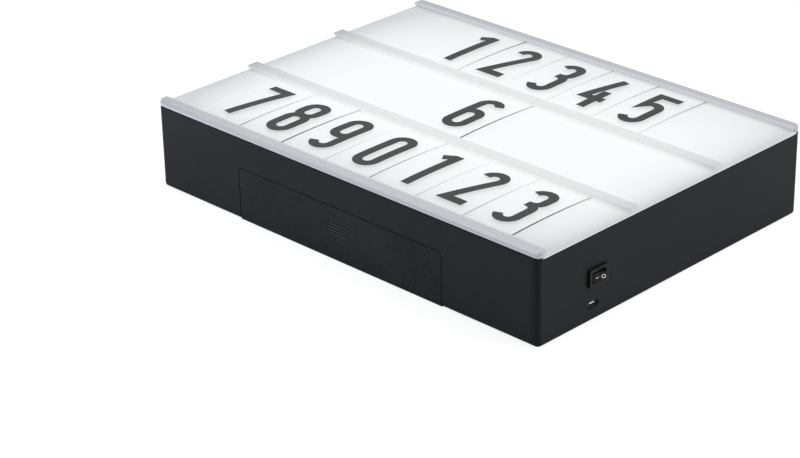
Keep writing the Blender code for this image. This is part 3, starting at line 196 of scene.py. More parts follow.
class Surface(Tree):
    """The node tree of one material."""

    def __init__(self, name: str) -> None:
        """Starts a material that has a Principled shader and knows its place on the object."""
        self.material = bpy.data.materials.new(name)
        self.material.use_nodes = True
        super().__init__(self.material.node_tree)
        self.shader = self.tree.nodes["Principled BSDF"]
        self.place = self.node("ShaderNodeTexCoord").outputs["Object"]
        self.x, self.y, self.z = self.split(self.place)

    def set(self, **inputs: Value) -> None:
        """Sets the shader's sockets; an underscore in a name stands for a space."""
        for name, value in inputs.items():
            self.feed(self.shader.inputs[name.replace("_", " ")], value)

    def noise(
        self, size: float, detail: float = 3.0, roughness: float = 0.5, where: Value | None = None
    ) -> Signal:
        """Makes noise from 0 to 1.

        Args:
            size: the rough size of its features in metres.
            detail: how many finer layers it has.
            roughness: how strong the finer layers are.
            where: the coordinates that it reads, or none for the object's own.

        Returns:
            The noise.
        """
        inputs = {"Vector": self.place if where is None else where, "Scale": 1.0 / size}
        inputs.update({"Detail": detail, "Roughness": roughness})
        return Signal(self, self.node("ShaderNodeTexNoise", inputs=inputs).outputs[0])

    def stretched(self, x: float, y: float, z: float) -> bpy.types.NodeSocket:
        """Returns the object's coordinates, each axis multiplied by a number."""
        node = self.node("ShaderNodeVectorMath", {"operation": "MULTIPLY"}, {0: self.place, 1: (x, y, z)})
        return node.outputs[0]

    def mix(
        self, share: Value, first: Colour | bpy.types.NodeSocket, second: Colour | bpy.types.NodeSocket
    ) -> bpy.types.NodeSocket:
        """Blends two colours.

        Args:
            share: the share of the second colour, from 0 to 1.
            first: the first colour, or a link to it.
            second: the second colour, or a link to it.

        Returns:
            The blend.
        """
        node = self.node("ShaderNodeMix", {"data_type": "RGBA"}, {0: share})
        for socket, colour in ((node.inputs[6], first), (node.inputs[7], second)):
            self.feed(socket, colour if isinstance(colour, bpy.types.NodeSocket) else (*colour, 1.0))
        return node.outputs[2]

    def scaled(self, colour: Colour, share: Signal) -> bpy.types.NodeSocket:
        """Returns a colour multiplied by a signal."""
        node = self.node("ShaderNodeVectorMath", {"operation": "SCALE"}, {0: colour, "Scale": share})
        return node.outputs[0]

    def attribute(self, name: str) -> Signal:
        """Returns a number that the mesh carries under this name."""
        return Signal(self, self.node("ShaderNodeAttribute", {"attribute_name": name}).outputs["Fac"])

    def bump(self, height: Signal, depth: float) -> None:
        """Raises the surface by a height from 0 to 1 times a depth in metres."""
        bump = self.node("ShaderNodeBump", inputs={"Height": height, "Distance": depth, "Strength": 1.0})
        self.set(Normal=bump.outputs[0])


@dataclass(frozen=True)
class Recipe:
    """How the material of one finish is made."""

    name: str

    def material(self) -> bpy.types.Material:
        """Makes the finish's material.

        Returns:
            The new material.
        """
        surface = Surface(self.name)
        self.paint(surface)
        return surface.material

    def paint(self, surface: Surface) -> None:
        """Gives the surface its colour, gloss and relief."""
        raise NotImplementedError


@dataclass(frozen=True)
class Moulded(Recipe):
    """Moulded plastic with a fine etched grain and slightly uneven gloss."""

    colour: Colour
    sheen_colour: Colour
    roughness: float = 0.5
    grain: float = 0.45 * MM
    grain_depth: float = 0.03 * MM
    specular: float = 0.1
    cloud: float = 38 * MM
    speckle: float = 0.9 * MM
    speckle_share: float = 0.65

    def paint(self, surface: Surface) -> None:
        """Gives the surface its two colours, its gloss and its grain.

        Args:
            surface: the material's tree.
        """
        grain = surface.noise(self.grain, 2.0, 0.6)
        clouds = surface.noise(self.cloud)
        speckle = surface.noise(self.speckle, 2.0, 0.7).within(0.45, 0.7)
        share = clouds.within(0.3, 0.7) * (1.0 - self.speckle_share) + speckle * self.speckle_share
        surface.set(Base_Color=self.with_painted_light(surface, surface.mix(share, self.colour, self.sheen_colour)))
        surface.set(Roughness=self.roughness + (grain - 0.5) * 0.16 + (clouds - 0.5) * 0.1)
        surface.set(Specular_IOR_Level=self.specular)
        surface.bump(grain, self.grain_depth)

    def with_painted_light(self, surface: Surface, colour: bpy.types.NodeSocket) -> bpy.types.NodeSocket:
        """Returns the colour with its painted light and shade, of which plain plastic has none."""
        return colour


@dataclass(frozen=True)
class GripMoulded(Moulded):
    """Moulded plastic with a row of finger grooves, with painted shade inside each groove and a painted
    highlight along each groove's lower lip.
    """

    lip_highlight: Colour = (0.046, 0.05, 0.055)
    shade: Colour = (0.0042, 0.0048, 0.0055)
    groove_count: int = 4
    groove_pitch: float = 2.0 * MM
    groove_length: float = 15.0 * MM
    middle: float = 20.0 * MM
    lip_below: float = 0.5 * MM
    lip_width: float = 0.55 * MM
    face: float = -110.85 * MM
    soft: float = 0.05 * MM
    patch: float = 1.5 * MM

    def with_painted_light(self, surface: Surface, colour: bpy.types.NodeSocket) -> bpy.types.NodeSocket:
        """Paints shade into the grooves and a highlight line under each.

        Args:
            surface: the material's tree.
            colour: the plain colour.

        Returns:
            The colour with the grip's painted shade and highlight.
        """
        soft = self.soft
        lowest = self.middle - (self.groove_count - 1) / 2 * self.groove_pitch
        start = lowest - self.lip_below - self.lip_width
        height = (surface.z - start) / self.groove_pitch
        place = height.fraction() * self.groove_pitch
        line = place.within(0.0, soft) * (1.0 - place.within(self.lip_width - soft, self.lip_width))
        past_last = height.within(self.groove_count - 0.01, float(self.groove_count))
        rows = height.within(0.0, 0.01) * (1.0 - past_last)
        along = 1.0 - abs(surface.x).within(self.groove_length / 2 - 2 * soft, self.groove_length / 2)
        inside = surface.y.within(self.face - soft, self.face)
        patchy = surface.noise(self.patch, 2.0) * 1.4 + 0.2
        grip = rows * along
        # Painted highlight: a paler line along each groove's lower lip, where light from above falls.
        colour = surface.mix(line * grip * (1.0 - inside) * patchy, colour, self.lip_highlight)
        # Painted shade: a darker colour inside each groove.
        return surface.mix(grip * inside, colour, self.shade)


@dataclass(frozen=True)
class TrayMoulded(Moulded):
    """Moulded plastic of the tray, with painted shade in the narrow gap under the panel and on its near
    upright edge.
    """

    half_length: float = 150 * MM
    half_width: float = 111 * MM
    end_gap: float = 51.0 * MM
    side_gap: float = 51.8 * MM
    soft: float = 0.25 * MM
    shade_height: float = 0.6 * MM
    shade_share: float = 0.75
    edge_start: float = 143.6 * MM
    edge_full: float = 145.8 * MM
    edge_turn: float = 2.4 * MM
    edge_share: float = 0.56

    def with_painted_light(self, surface: Surface, colour: bpy.types.NodeSocket) -> bpy.types.NodeSocket:
        """Paints shade on the top edge of the walls and on the near upright edge.

        Args:
            surface: the material's tree.
            colour: the plain colour.

        Returns:
            The colour with both shades.
        """
        # Painted shade: a dark band on the walls just under the panel's edge, where the gap lies in shadow,
        # and a darker band on the near upright edge.
        end = self.under_panel(abs(surface.x), self.half_length, surface.z, self.end_gap)
        side = self.under_panel(abs(surface.y), self.half_width, surface.z, self.side_gap)
        turned = surface.y.within(-self.half_width, self.edge_turn - self.half_width)
        edge = surface.x.within(self.edge_start, self.edge_full) * (1.0 - turned)
        light = (1.0 - edge * self.edge_share) * (1.0 - end * self.shade_share)
        return surface.mix(light * (1.0 - side * self.shade_share), BLACK, colour)

    def under_panel(self, outwards: Signal, face: float, height: Signal, gap: float) -> Signal:
        """Finds the outer face of a wall just below the face panel.

        Args:
            outwards: the distance from the middle, towards the wall.
            face: that distance at the wall's outer face.
            height: the height above the back.
            gap: the height of the gap under the panel.

        Returns:
            1 there and 0 elsewhere.
        """
        outer = outwards.within(face - 2 * self.soft, face - self.soft)
        return outer * height.within(gap - self.shade_height - self.soft, gap - self.shade_height)


@dataclass(frozen=True)
class BezelMoulded(Moulded):
    """Switch plastic, dark below its front face where little light comes."""

    face: float = 151.7 * MM
    shade_share: float = 0.85

    def with_painted_light(self, surface: Surface, colour: bpy.types.NodeSocket) -> bpy.types.NodeSocket:
        """Returns the colour, darker behind the front face."""
        behind = 1.0 - surface.x.within(self.face - 0.3 * MM, self.face - 0.1 * MM)
        return surface.mix(behind * self.shade_share, colour, BLACK)


@dataclass(frozen=True)
class RockerMoulded(Moulded):
    """Rocker plastic, dark along the two edges that the bezel shades."""

    front: float = -69.8 * MM
    top: float = 29.3 * MM
    shade_width: float = 1.0 * MM
    shade_share: float = 1.0
    soft: float = 0.2 * MM

    def with_painted_light(self, surface: Surface, colour: bpy.types.NodeSocket) -> bpy.types.NodeSocket:
        """Darkens the front and upper edges.

        Args:
            surface: the material's tree.
            colour: the plain colour.

        Returns:
            The colour with the dark edges.
        """
        front, top = self.front + self.shade_width, self.top - self.shade_width
        past_front = surface.y.within(front - self.soft, front)
        below_top = 1.0 - surface.z.within(top, top + self.soft)
        return surface.mix((1.0 - past_front * below_top) * self.shade_share, colour, BLACK)


@dataclass(frozen=True)
class LitFace(Recipe):
    """The milky sheet lit from behind: brightest inside, dimmer towards its edges and on its outer rim."""

    name: str = "milky sheet, lit"
    half_length: float = 150 * MM
    half_width: float = 111 * MM
    body: Colour = (0.195, 0.213, 0.245)
    rim: Colour = (0.5, 0.52, 0.57)
    glow: Colour = (0.985, 1.0, 0.95)
    strength: float = 0.695
    left_loss: float = 0.54
    right_loss: float = 0.38
    front_loss: float = 0.47
    rear_loss: float = 0.24
    reach: float = 18 * MM
    right_reach: float = 12 * MM
    rear_reach: float = 28 * MM
    corner_loss: float = 0.15
    corner_reach: float = 50 * MM
    least_light: float = 0.55
    edge_loss: float = 0.1
    edge_reach: float = 1.6 * MM
    left_edge_loss: float = 0.25
    left_edge_reach: float = 0.9 * MM
    rail_gain: float = 0.055
    rail_reach: float = 5.0 * MM
    rail_front: float = -40 * MM
    rail_pitch: float = 72 * MM
    rim_light: float = 0.03
    lip_light: float = 0.14
    lip_foot_light: float = 0.33
    lip_foot: float = 51.75 * MM
    lip_soft: float = 0.3 * MM
    rim_width: float = 0.5 * MM
    rail_cover: float = 5.0 * MM
    rail_soft: float = 0.2 * MM
    dust: float = 0.8 * MM
    dust_depth: float = 0.004 * MM
    specular: float = 0.12

    def paint(self, surface: Surface) -> None:
        """Gives the sheet its colour, its light and its dust.

        Args:
            surface: the material's tree.
        """
        outer_x = abs(surface.x).within(self.half_length - self.rim_width, self.half_length - 0.1 * MM)
        covered = self.half_width - self.rail_cover
        outer_y = abs(surface.y).within(covered - self.rail_soft, covered)
        inner = (1.0 - outer_x) * (1.0 - outer_y)
        foot = 1.0 - surface.z.within(self.lip_foot - self.lip_soft, self.lip_foot)
        lip = (self.lip_light - self.rim_light + foot * (self.lip_foot_light - self.lip_light)) * outer_x
        light = self.light_within(surface) * inner + (1.0 - inner) * self.rim_light + lip * (1.0 - outer_y)
        dust = surface.noise(self.dust)
        surface.set(Base_Color=surface.mix(inner, self.rim, self.body))
        surface.set(Emission_Color=surface.scaled(self.glow, light), Emission_Strength=self.strength)
        surface.set(Roughness=0.3 + dust * 0.08, Specular_IOR_Level=self.specular)
        surface.bump(dust, self.dust_depth)

    def light_within(self, surface: Surface) -> Signal:
        """Works out the light that comes through the sheet inside its rim.

        Args:
            surface: the material's tree.

        Returns:
            The light, 1 where the sheet is brightest.
        """
        from_left = surface.x + self.half_length
        from_right = self.half_length - surface.x
        left = from_left.falloff(self.reach) * self.left_loss
        right = from_right.falloff(self.right_reach) * self.right_loss
        front = (surface.y + self.half_width).falloff(self.reach) * self.front_loss
        rear = (self.half_width - surface.y).falloff(self.rear_reach) * self.rear_loss
        from_corner = surface.x - surface.y + (self.half_length + self.half_width)
        corner = from_corner.falloff(self.corner_reach) * self.corner_loss
        light = (1.0 - left) * (1.0 - right) * (1.0 - front) * (1.0 - rear) * (1.0 - corner)
        # Painted light: the sheet is brighter in a band just in front of each rail, for light that the rail
        # spreads onto it.
        before_rail = ((self.rail_front - surface.y) / self.rail_pitch).fraction() * self.rail_pitch
        light = light.at_least(self.least_light) + before_rail.falloff(self.rail_reach) * self.rail_gain
        edges = (self.half_length - abs(surface.x)).falloff(self.edge_reach) * self.edge_loss
        left_edge = from_left.falloff(self.left_edge_reach) * self.left_edge_loss
        even = surface.noise(60 * MM, 2.0) * 0.02 + 0.99
        return light * (1.0 - edges) * (1.0 - left_edge) * even


@dataclass(frozen=True)
class LitRail(Recipe):
    """Frosted rail plastic with a painted glow for the light that it carries up its sides from below, less of
    it at its ends, and painted shade on its colour towards the left end.
    """

    body: Colour = (0.425, 0.435, 0.468)
    left_shade: float = 0.1
    shade_reach: float = 60 * MM
    glow: Colour = (0.98, 1.0, 0.88)
    strength: float = 0.605
    top_share: float = 0.52
    side_share: float = 0.66
    foot_share: float = 0.95
    half_length: float = 150 * MM
    left_loss: float = 1.0
    side_keep: float = 0.4
    right_loss: float = 0.55
    left_reach: float = 28 * MM
    right_reach: float = 19 * MM
    foot: float = 53.4 * MM
    top: float = 55.8 * MM
    inner_glow: float = 0.0
    inner_start: float = 104.1 * MM
    inner_end: float = 106.0 * MM
    cap_glow: float = 0.0
    cap_slope: float = 0.0
    cap_foot: float = 54.0 * MM
    cap_soft: float = 0.3 * MM
    cap_fade: float = 1.4 * MM
    cap_bare: float = 0.6 * MM
    specular: float = 0.12

    def paint(self, surface: Surface) -> None:
        """Gives the rail its colour, its light and its drawn streaks.

        Args:
            surface: the material's tree.
        """
        from_left = surface.x + self.half_length
        streak = surface.noise(3 * MM, 2.0, 0.5, surface.stretched(0.08, 1.0, 1.0))
        on_top = surface.z.within(self.top - 0.16 * MM, self.top - 0.04 * MM)
        left = from_left.falloff(self.left_reach) * self.left_loss
        left = left * (1.0 - (1.0 - on_top) * self.side_keep)
        right = (self.half_length - surface.x).falloff(self.right_reach) * self.right_loss
        light = (1.0 - left) * (1.0 - right) * self.light_up(surface, on_top) * (0.97 + streak * 0.06)
        # Painted shade: the rail's colour is darker towards its left end, where less light falls on it.
        dim = from_left.falloff(self.shade_reach) * self.left_shade
        surface.set(Base_Color=surface.scaled(self.body, (1.0 - dim) * (1.0 - streak * 0.05)))
        surface.set(Emission_Color=surface.scaled(self.glow, light), Emission_Strength=self.strength)
        surface.set(Roughness=0.32 + streak * 0.1, Specular_IOR_Level=self.specular)
        surface.bump(streak, 0.01 * MM)

    def light_up(self, surface: Surface, on_top: Signal) -> Signal:
        """Works out how much light each height and side of the rail carries.

        Args:
            surface: the material's tree.
            on_top: 1 on the rail's top and 0 on its sides.

        Returns:
            The light, before the rail's ends take from it.
        """
        fall = (self.side_share - self.foot_share) / (self.top - self.foot)
        side = (surface.z - self.foot) * fall + self.foot_share
        height = side * (1.0 - on_top) + on_top * self.top_share
        inner = (1.0 - abs(surface.y).within(self.inner_start, self.inner_end)) * self.inner_glow
        cap = surface.z.within(self.cap_foot, self.cap_foot + self.cap_soft) * (1.0 - on_top)
        cap = cap * (surface.x * (self.cap_slope / self.half_length) + self.cap_glow)
        end = surface.x.within(self.half_length - self.cap_fade, self.half_length - self.cap_bare)
        return height + inner + cap * (1.0 - end)


@dataclass(frozen=True)
class LitEndRail(LitRail):
    """An end rail, which is lit through its inner side and the cap on its outer side."""

    glow: Colour = (0.93, 0.97, 1.0)
    strength: float = 0.085
    top_share: float = 0.38
    left_loss: float = 0.3
    right_loss: float = 0.1


@dataclass(frozen=True)
class ClearSheet(Recipe):
    """Clear card plastic with fine scratches and, along its right edge, a painted dark line for the shade at
    that edge, which differs by card.
    """

    name: str = "clear card"
    tint: Colour = (0.9, 0.92, 0.91)
    scratch: Colour = (0.8, 0.82, 0.82)
    edge_shade: Colour = (0.012, 0.014, 0.014)
    cover: float = 0.05
    roughness: float = 0.12
    line_width: float = 0.45 * MM
    fade_share: float = 0.7
    strength: str = "edge_strength"
    fade: str = "edge_fade"
    distance: str = "edge_distance"

    def paint(self, surface: Surface) -> None:
        """Makes the card see-through and draws its painted shade line at the edge from three numbers that the
        mesh carries.

        Args:
            surface: the material's tree.
        """
        surface.material.surface_render_method = "BLENDED"
        names = (self.strength, self.fade, self.distance)
        strength, fade, distance = (surface.attribute(name) for name in names)
        scratches = surface.noise(0.5 * MM, 3.0, 0.6, surface.stretched(1.0, 0.06, 1.0)).within(0.62, 0.75)
        uneven = surface.noise(6 * MM, 2.0) * 0.4 + 0.8
        faded = (1.0 - fade * fade * self.fade_share) * (1.0 - fade * (1.0 - strength))
        # Painted shade: a dark, partly opaque line on the card along its right edge.
        line = (1.0 - distance.within(self.line_width * 0.8, self.line_width)) * strength * faded * uneven
        sheet = surface.mix(scratches, self.tint, self.scratch)
        surface.set(Base_Color=surface.mix(line.within(0.0, 0.05), sheet, self.edge_shade))
        surface.set(Roughness=self.roughness + scratches * 0.2)
        surface.set(Alpha=line + self.cover + scratches * 0.03)


@dataclass(frozen=True)
class Ink(Recipe):
    """Screen-printed ink with a trace of pinholes and uneven cover."""

    name: str = "printed ink"
    colour: Colour = (0.043, 0.048, 0.05)
    thin: Colour = (0.06, 0.066, 0.066)

    def paint(self, surface: Surface) -> None:
        """Gives the ink its uneven cover.

        Args:
            surface: the material's tree.
        """
        cover = surface.noise(1.2 * MM, 4.0, 0.6)
        surface.set(Base_Color=surface.mix(cover.within(0.45, 0.75), self.colour, self.thin))
        surface.set(Roughness=0.5 + cover * 0.15, Specular_IOR_Level=0.1)
        surface.bump(cover, 0.004 * MM)


@dataclass(frozen=True)
class Metal(Recipe):
    """Plated metal with fine drawing marks and a little tarnish."""

    colour: Colour
    tarnish: Colour
    roughness: float = 0.28

    def paint(self, surface: Surface) -> None:
        """Gives the metal its marks and its tarnish.

        Args:
            surface: the material's tree.
        """
        lines = surface.noise(0.15 * MM, 3.0, 0.6, surface.stretched(0.1, 1.0, 1.0))
        spots = surface.noise(2.5 * MM, 4.0).within(0.55, 0.8)
        surface.set(Base_Color=surface.mix(spots, self.colour, self.tarnish), Metallic=1.0)
        surface.set(Roughness=self.roughness + lines * 0.14 + spots * 0.15)
        surface.bump(lines, 0.003 * MM)


@dataclass(frozen=True)
class Sleeve(Recipe):
    """The shrink sleeves of a line of cells: a dark body and a copper-coloured band at each positive end."""

    towards: int
    pitch: float
    middle: float
    dark: Colour = (0.03, 0.032, 0.036)
    band: Colour = (0.5, 0.27, 0.1)
    band_share: float = 0.24
    band_soft: float = 0.004
    spare_cells: int = 20

    def paint(self, surface: Surface) -> None:
        """Gives each cell of the line its body, its band and its wrinkles.

        Args:
            surface: the material's tree.
        """
        # The spare cells keep the number above 0, and the half cell starts it at a cell's end.
        along = (surface.x - self.middle) * self.towards / self.pitch + (self.spare_cells + 0.5)
        start = 1 - self.band_share
        band = along.fraction().within(start - self.band_soft, start + self.band_soft)
        wrinkle = surface.noise(1.5 * MM)
        surface.set(Base_Color=surface.mix(band, self.dark, self.band))
        surface.set(Roughness=0.3 + wrinkle * 0.12, Metallic=band * 0.5)
        surface.bump(wrinkle, 0.01 * MM)


@dataclass(frozen=True)
class Board(Recipe):
    """A circuit board with solder mask and paler tracks under it."""

    mask: Colour
    track: Colour
    pitch: float = 2.4 * MM

    def paint(self, surface: Surface) -> None:
        """Gives the board its mask and tracks.

        Args:
            surface: the material's tree.
        """
        inputs = {"Vector": surface.place, "Scale": 1.0 / self.pitch}
        cells = surface.node("ShaderNodeTexVoronoi", {"distance": "CHEBYCHEV"}, inputs)
        tracks = Signal(surface, cells.outputs["Distance"]).within(0.42, 0.47)
        surface.set(Base_Color=surface.mix(tracks, self.mask, self.track))
        surface.set(Roughness=0.35 + tracks * 0.1)
        surface.bump(tracks, 0.02 * MM)


@dataclass(frozen=True)
class Insulation(Recipe):
    """Soft wire insulation with faint ripples and painted shade that follows them."""

    colour: Colour
    ripple_share: float = 0.8

    def paint(self, surface: Surface) -> None:
        """Gives the insulation its ripples and their painted shade.

        Args:
            surface: the material's tree.
        """
        ripple = surface.noise(1.6 * MM)
        # Painted shade: a darker copy of the colour, laid on by the ripple pattern.
        ripple_shade_colour = tuple(self.ripple_share * part for part in self.colour)
        surface.set(Base_Color=surface.mix(ripple, self.colour, ripple_shade_colour))
        surface.set(Roughness=0.42 + ripple * 0.15)
        surface.bump(ripple, 0.02 * MM)


class Finish(enum.Enum):
    """The finishes of the light box, each with the recipe of its material."""

    HOUSING = TrayMoulded("housing plastic", (0.0094, 0.0113, 0.0145), (0.0146, 0.0171, 0.0212))
    DOOR = GripMoulded("door plastic", (0.0055, 0.007, 0.0098), (0.0195, 0.023, 0.028), 0.46)
    HOLDER = Moulded("holder plastic", (0.012, 0.012, 0.012), (0.018, 0.018, 0.018), 0.55)
    BEZEL = BezelMoulded(
        "bezel plastic", (0.0128, 0.0135, 0.0142), (0.0155, 0.016, 0.017), 0.4, 0.6 * MM, 0.01 * MM
    )
    ROCKER = RockerMoulded(
        "rocker plastic", (0.021, 0.0215, 0.0223), (0.024, 0.0245, 0.0255), 0.4, 0.6 * MM, 0.01 * MM, 0.03
    )
    REFLECTOR = Moulded("reflector sheet", (0.8, 0.8, 0.8), (0.85, 0.85, 0.85), 0.7)
    FACE = LitFace()
    MID_RAIL = LitRail("inner rail plastic")
    FRONT_RAIL = LitEndRail(
        "front rail plastic", (0.452, 0.4615, 0.487), 0.2, inner_glow=1.9, cap_glow=0.95, cap_slope=1.0
    )
    REAR_RAIL = LitEndRail("rear rail plastic", (0.408, 0.412, 0.442), 0.08, inner_glow=1.5, cap_glow=0.8)
    CARD = ClearSheet()
    INK = Ink()
    MARK = Ink("switch mark", (0.92, 0.92, 0.9), (0.8, 0.8, 0.78))
    CONTACT = Metal("contact plate", (0.62, 0.62, 0.6), (0.45, 0.43, 0.38))
    SPRING = Metal("spring wire", (0.6, 0.6, 0.6), (0.4, 0.4, 0.4), 0.22)
    TERMINAL = Metal("terminal brass", (0.62, 0.5, 0.28), (0.4, 0.3, 0.18), 0.3)
    # Painted shade: the shell's steel is given a near-black colour, for the shade of the slot that it sits
    # back in.
    SOCKET = Metal("socket shell", (0.07, 0.07, 0.072), (0.05, 0.05, 0.05), 0.4)
    TIN = Metal("bright tin", (0.95, 0.95, 0.94), (0.9, 0.9, 0.88), 0.62)
    SCREW = Metal("screw steel", (0.5, 0.5, 0.51), (0.33, 0.32, 0.3), 0.28)
    INLET_BOARD = Board("inlet board", (0.012, 0.09, 0.035), (0.03, 0.16, 0.07))
    STRIP_BOARD = Board("strip board", (0.75, 0.75, 0.72), (0.66, 0.66, 0.6), 6 * MM)
    PHOSPHOR = Moulded("emitter gel", (0.85, 0.7, 0.2), (0.8, 0.62, 0.15), 0.35, 0.5 * MM, 0.005 * MM)
    TONGUE = Moulded("tongue plastic", (0.015, 0.015, 0.015), (0.02, 0.02, 0.02))
    RED_WIRE = Insulation("red insulation", (0.42, 0.02, 0.02))
    BLACK_WIRE = Insulation("black insulation", (0.015, 0.015, 0.015))
    WHITE_WIRE = Insulation("white insulation", (0.7, 0.7, 0.68))

    @functools.cache
    def material(self) -> bpy.types.Material:
        """Returns this finish's one material, made when it is first needed."""
        return self.value.material()


def corners(node: str) -> tuple[Vector, Vector]:
    """Returns the lowest and the highest corner of a CAD node at rest."""
    low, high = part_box(node)
    return Vector(low), Vector(high)


def add_piece(name: str, mesh: bpy.types.Mesh, body: Body, slot: str, *finishes: Finish) -> bpy.types.Object:
    """Puts a finished mesh into the scene as a piece.

    Args:
        name: the piece's name.
        mesh: its mesh, already in place.
        body: what it rides on.
        slot: the record's material slot; not used.
        finishes: its materials in slot order; none keeps the mesh's own.

    Returns:
        The new object.
    """
    mesh.name = name
    if finishes:
        mesh.materials.clear()
        for finish in finishes:
            mesh.materials.append(finish.material())
    piece = bpy.data.objects.new(name, mesh)
    bpy.context.scene.collection.objects.link(piece)
    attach(piece, body.value)
    LOG.info("%s: %d faces", name, len(mesh.polygons))
    return piece


def dress(finish: Finish | Recipe, *nodes: str) -> None:
    """Gives CAD nodes a finish as they are.

    Args:
        finish: the finish, or a recipe that only these nodes use.
        nodes: the CAD nodes.
    """
    material = finish.material()
    for node in nodes:
        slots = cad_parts[node].data.materials
        slots.clear()
        slots.append(material)
        LOG.info("%s: %s", node, finish.name.lower())


SAME_PLACE = 0.002 * MM
SAME_LEVEL = 0.01 * MM
FLAT_ANGLE = math.radians(1.0)
SHARP_ANGLE = math.radians(35.0)


def refine(
    node: str, body: Body, slot: str, finish: Finish, edge: float, seams: dict[float, float] | None = None
) -> bpy.types.Object:
    """Replaces a CAD node with the same shape, its sharp edges broken and its arcs shaded smooth.

    Args:
        node: the CAD node.
        body: the body it rides on.
        slot: the record's material slot.
        finish: its finish.
        edge: the radius that a mould leaves on its edges, in metres.
        seams: levels brought to a new height, to close an assembly gap that the real seam doesn't show.

    Returns:
        The new piece.
    """
    bm = bmesh.new()
    bm.from_mesh(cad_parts[node].data)
    bmesh.ops.remove_doubles(bm, verts=bm.verts, dist=SAME_PLACE)
    for level, height in (seams or {}).items():
        for vert in bm.verts:
            if abs(vert.co.z - level) < SAME_LEVEL:
                vert.co.z = height
    bmesh.ops.dissolve_limit(bm, angle_limit=FLAT_ANGLE, verts=bm.verts, edges=bm.edges)
    mesh = bpy.data.meshes.new(node)
    bm.to_mesh(mesh)
    bm.free()
    mesh.shade_smooth()
    mesh.set_sharp_from_angle(angle=SHARP_ANGLE)
    helper = bpy.data.objects.new("refining", mesh)
    bpy.context.scene.collection.objects.link(helper)
    bevel = helper.modifiers.new("Broken edges", "BEVEL")
    bevel.width = edge
    bevel.segments = 2
    bevel.limit_method = "ANGLE"
    bevel.angle_limit = SHARP_ANGLE
    bevel.use_clamp_overlap = True
    evener = helper.modifiers.new("Flat faces stay flat", "WEIGHTED_NORMAL")
    evener.keep_sharp = True
    evener.weight = 100
    piece = add_piece(f"{node}_finished", evaluated_mesh(helper), body, slot, finish)
    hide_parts(node)
    return piece


def evaluated_mesh(helper: bpy.types.Object) -> bpy.types.Mesh:
    """Applies a helper's modifiers and removes it.

    Args:
        helper: an object that is in the scene.

    Returns:
        Its finished mesh.
    """
    graph = bpy.context.evaluated_depsgraph_get()
    mesh = bpy.data.meshes.new_from_object(helper.evaluated_get(graph), depsgraph=graph)
    bpy.data.objects.remove(helper, do_unlink=True)
    return mesh


class Nodes(Tree):
    """A Geometry Nodes tree with named inputs."""

    def __init__(self, name: str) -> None:
        """Starts a tree whose one output is its geometry."""
        super().__init__(bpy.data.node_groups.new(name, "GeometryNodeTree"))
        self.tree.interface.new_socket("Geometry", in_out="OUTPUT", socket_type="NodeSocketGeometry")
        self.enter = self.node("NodeGroupInput")
        self.leave = self.node("NodeGroupOutput")
        self.values: dict[str, float | int] = {}

    def size(self, name: str, value: float | int) -> Signal:
        """Adds a named input.

        Args:
            name: the input's name.
            value: its value, a whole number for a count.

        Returns:
            The number that it carries.
        """
        kind = "NodeSocketInt" if isinstance(value, int) else "NodeSocketFloat"
        self.tree.interface.new_socket(name, in_out="INPUT", socket_type=kind)
        self.values[name] = value
        return Signal(self, self.enter.outputs[name])

    def store(
        self, geometry: bpy.types.NodeSocket, name: str, domain: str, value: Value
    ) -> bpy.types.NodeSocket:
        """Writes a number to a named attribute.

        Args:
            geometry: the socket with the shape.
            name: the attribute's name.
            domain: where it is kept, such as POINT or INSTANCE.
            value: the number or link.

        Returns:
            The shape with the attribute.
        """
        settings = {"data_type": "FLOAT", "domain": domain}
        inputs = {0: geometry, "Name": name, "Value": value}
        return self.node("GeometryNodeStoreNamedAttribute", settings, inputs).outputs[0]

    def vector(self, x: Value = 0.0, y: Value = 0.0, z: Value = 0.0) -> bpy.types.NodeSocket:
        """Returns a vector of three numbers or links."""
        return self.node("ShaderNodeCombineXYZ", inputs={0: x, 1: y, 2: z}).outputs[0]

    def row(
        self, piece: bpy.types.NodeSocket, count: Signal, pitch: Signal, middle: Place, axis: int = 0
    ) -> bpy.types.NodeSocket:
        """Repeats a piece in a straight row.

        Args:
            piece: the socket with the piece.
            count: how many there are.
            pitch: the distance from one to the next.
            middle: the middle of the row.
            axis: 0 for a row along x, 1 for one along y.

        Returns:
            The row, as instances.
        """
        start, step = list(middle), [0.0, 0.0, 0.0]
        start[axis] = pitch * ((count - 1.0) * -0.5) + middle[axis]
        step[axis] = pitch
        inputs = {"Count": count, "Start Location": self.vector(*start), "Offset": self.vector(*step)}
        line = self.node("GeometryNodeMeshLine", {"mode": "OFFSET"}, inputs).outputs[0]
        placed = {"Points": line, "Instance": piece}
        return self.node("GeometryNodeInstanceOnPoints", inputs=placed).outputs[0]

    def mesh(self, geometry: bpy.types.NodeSocket, finish: Finish) -> bpy.types.Mesh:
        """Ends the tree and runs it.

        Args:
            geometry: the socket with the shape.
            finish: its material.

        Returns:
            The plain mesh that the tree makes.
        """
        real = self.node("GeometryNodeRealizeInstances", inputs={0: geometry}).outputs[0]
        coated = self.node("GeometryNodeSetMaterial", inputs={0: real, "Material": finish.material()})
        self.feed(self.leave.inputs[0], coated.outputs[0])
        helper = bpy.data.objects.new(self.tree.name, bpy.data.meshes.new(self.tree.name))
        bpy.context.scene.collection.objects.link(helper)
        modifier = helper.modifiers.new(self.tree.name, "NODES")
        modifier.node_group = self.tree
        for item in self.tree.interface.items_tree:
            if item.in_out == "INPUT":
                modifier[item.identifier] = self.values[item.name]
        return evaluated_mesh(helper)


def arc(centre: Point, radius: float, start: float, end: float, steps: int = 14) -> list[Point]:
    """Returns points on an arc between two angles in degrees, both ends included."""
    angles = [math.radians(start + (end - start) * step / steps) for step in range(steps + 1)]
    return [(centre[0] + radius * math.cos(angle), centre[1] + radius * math.sin(angle)) for angle in angles]


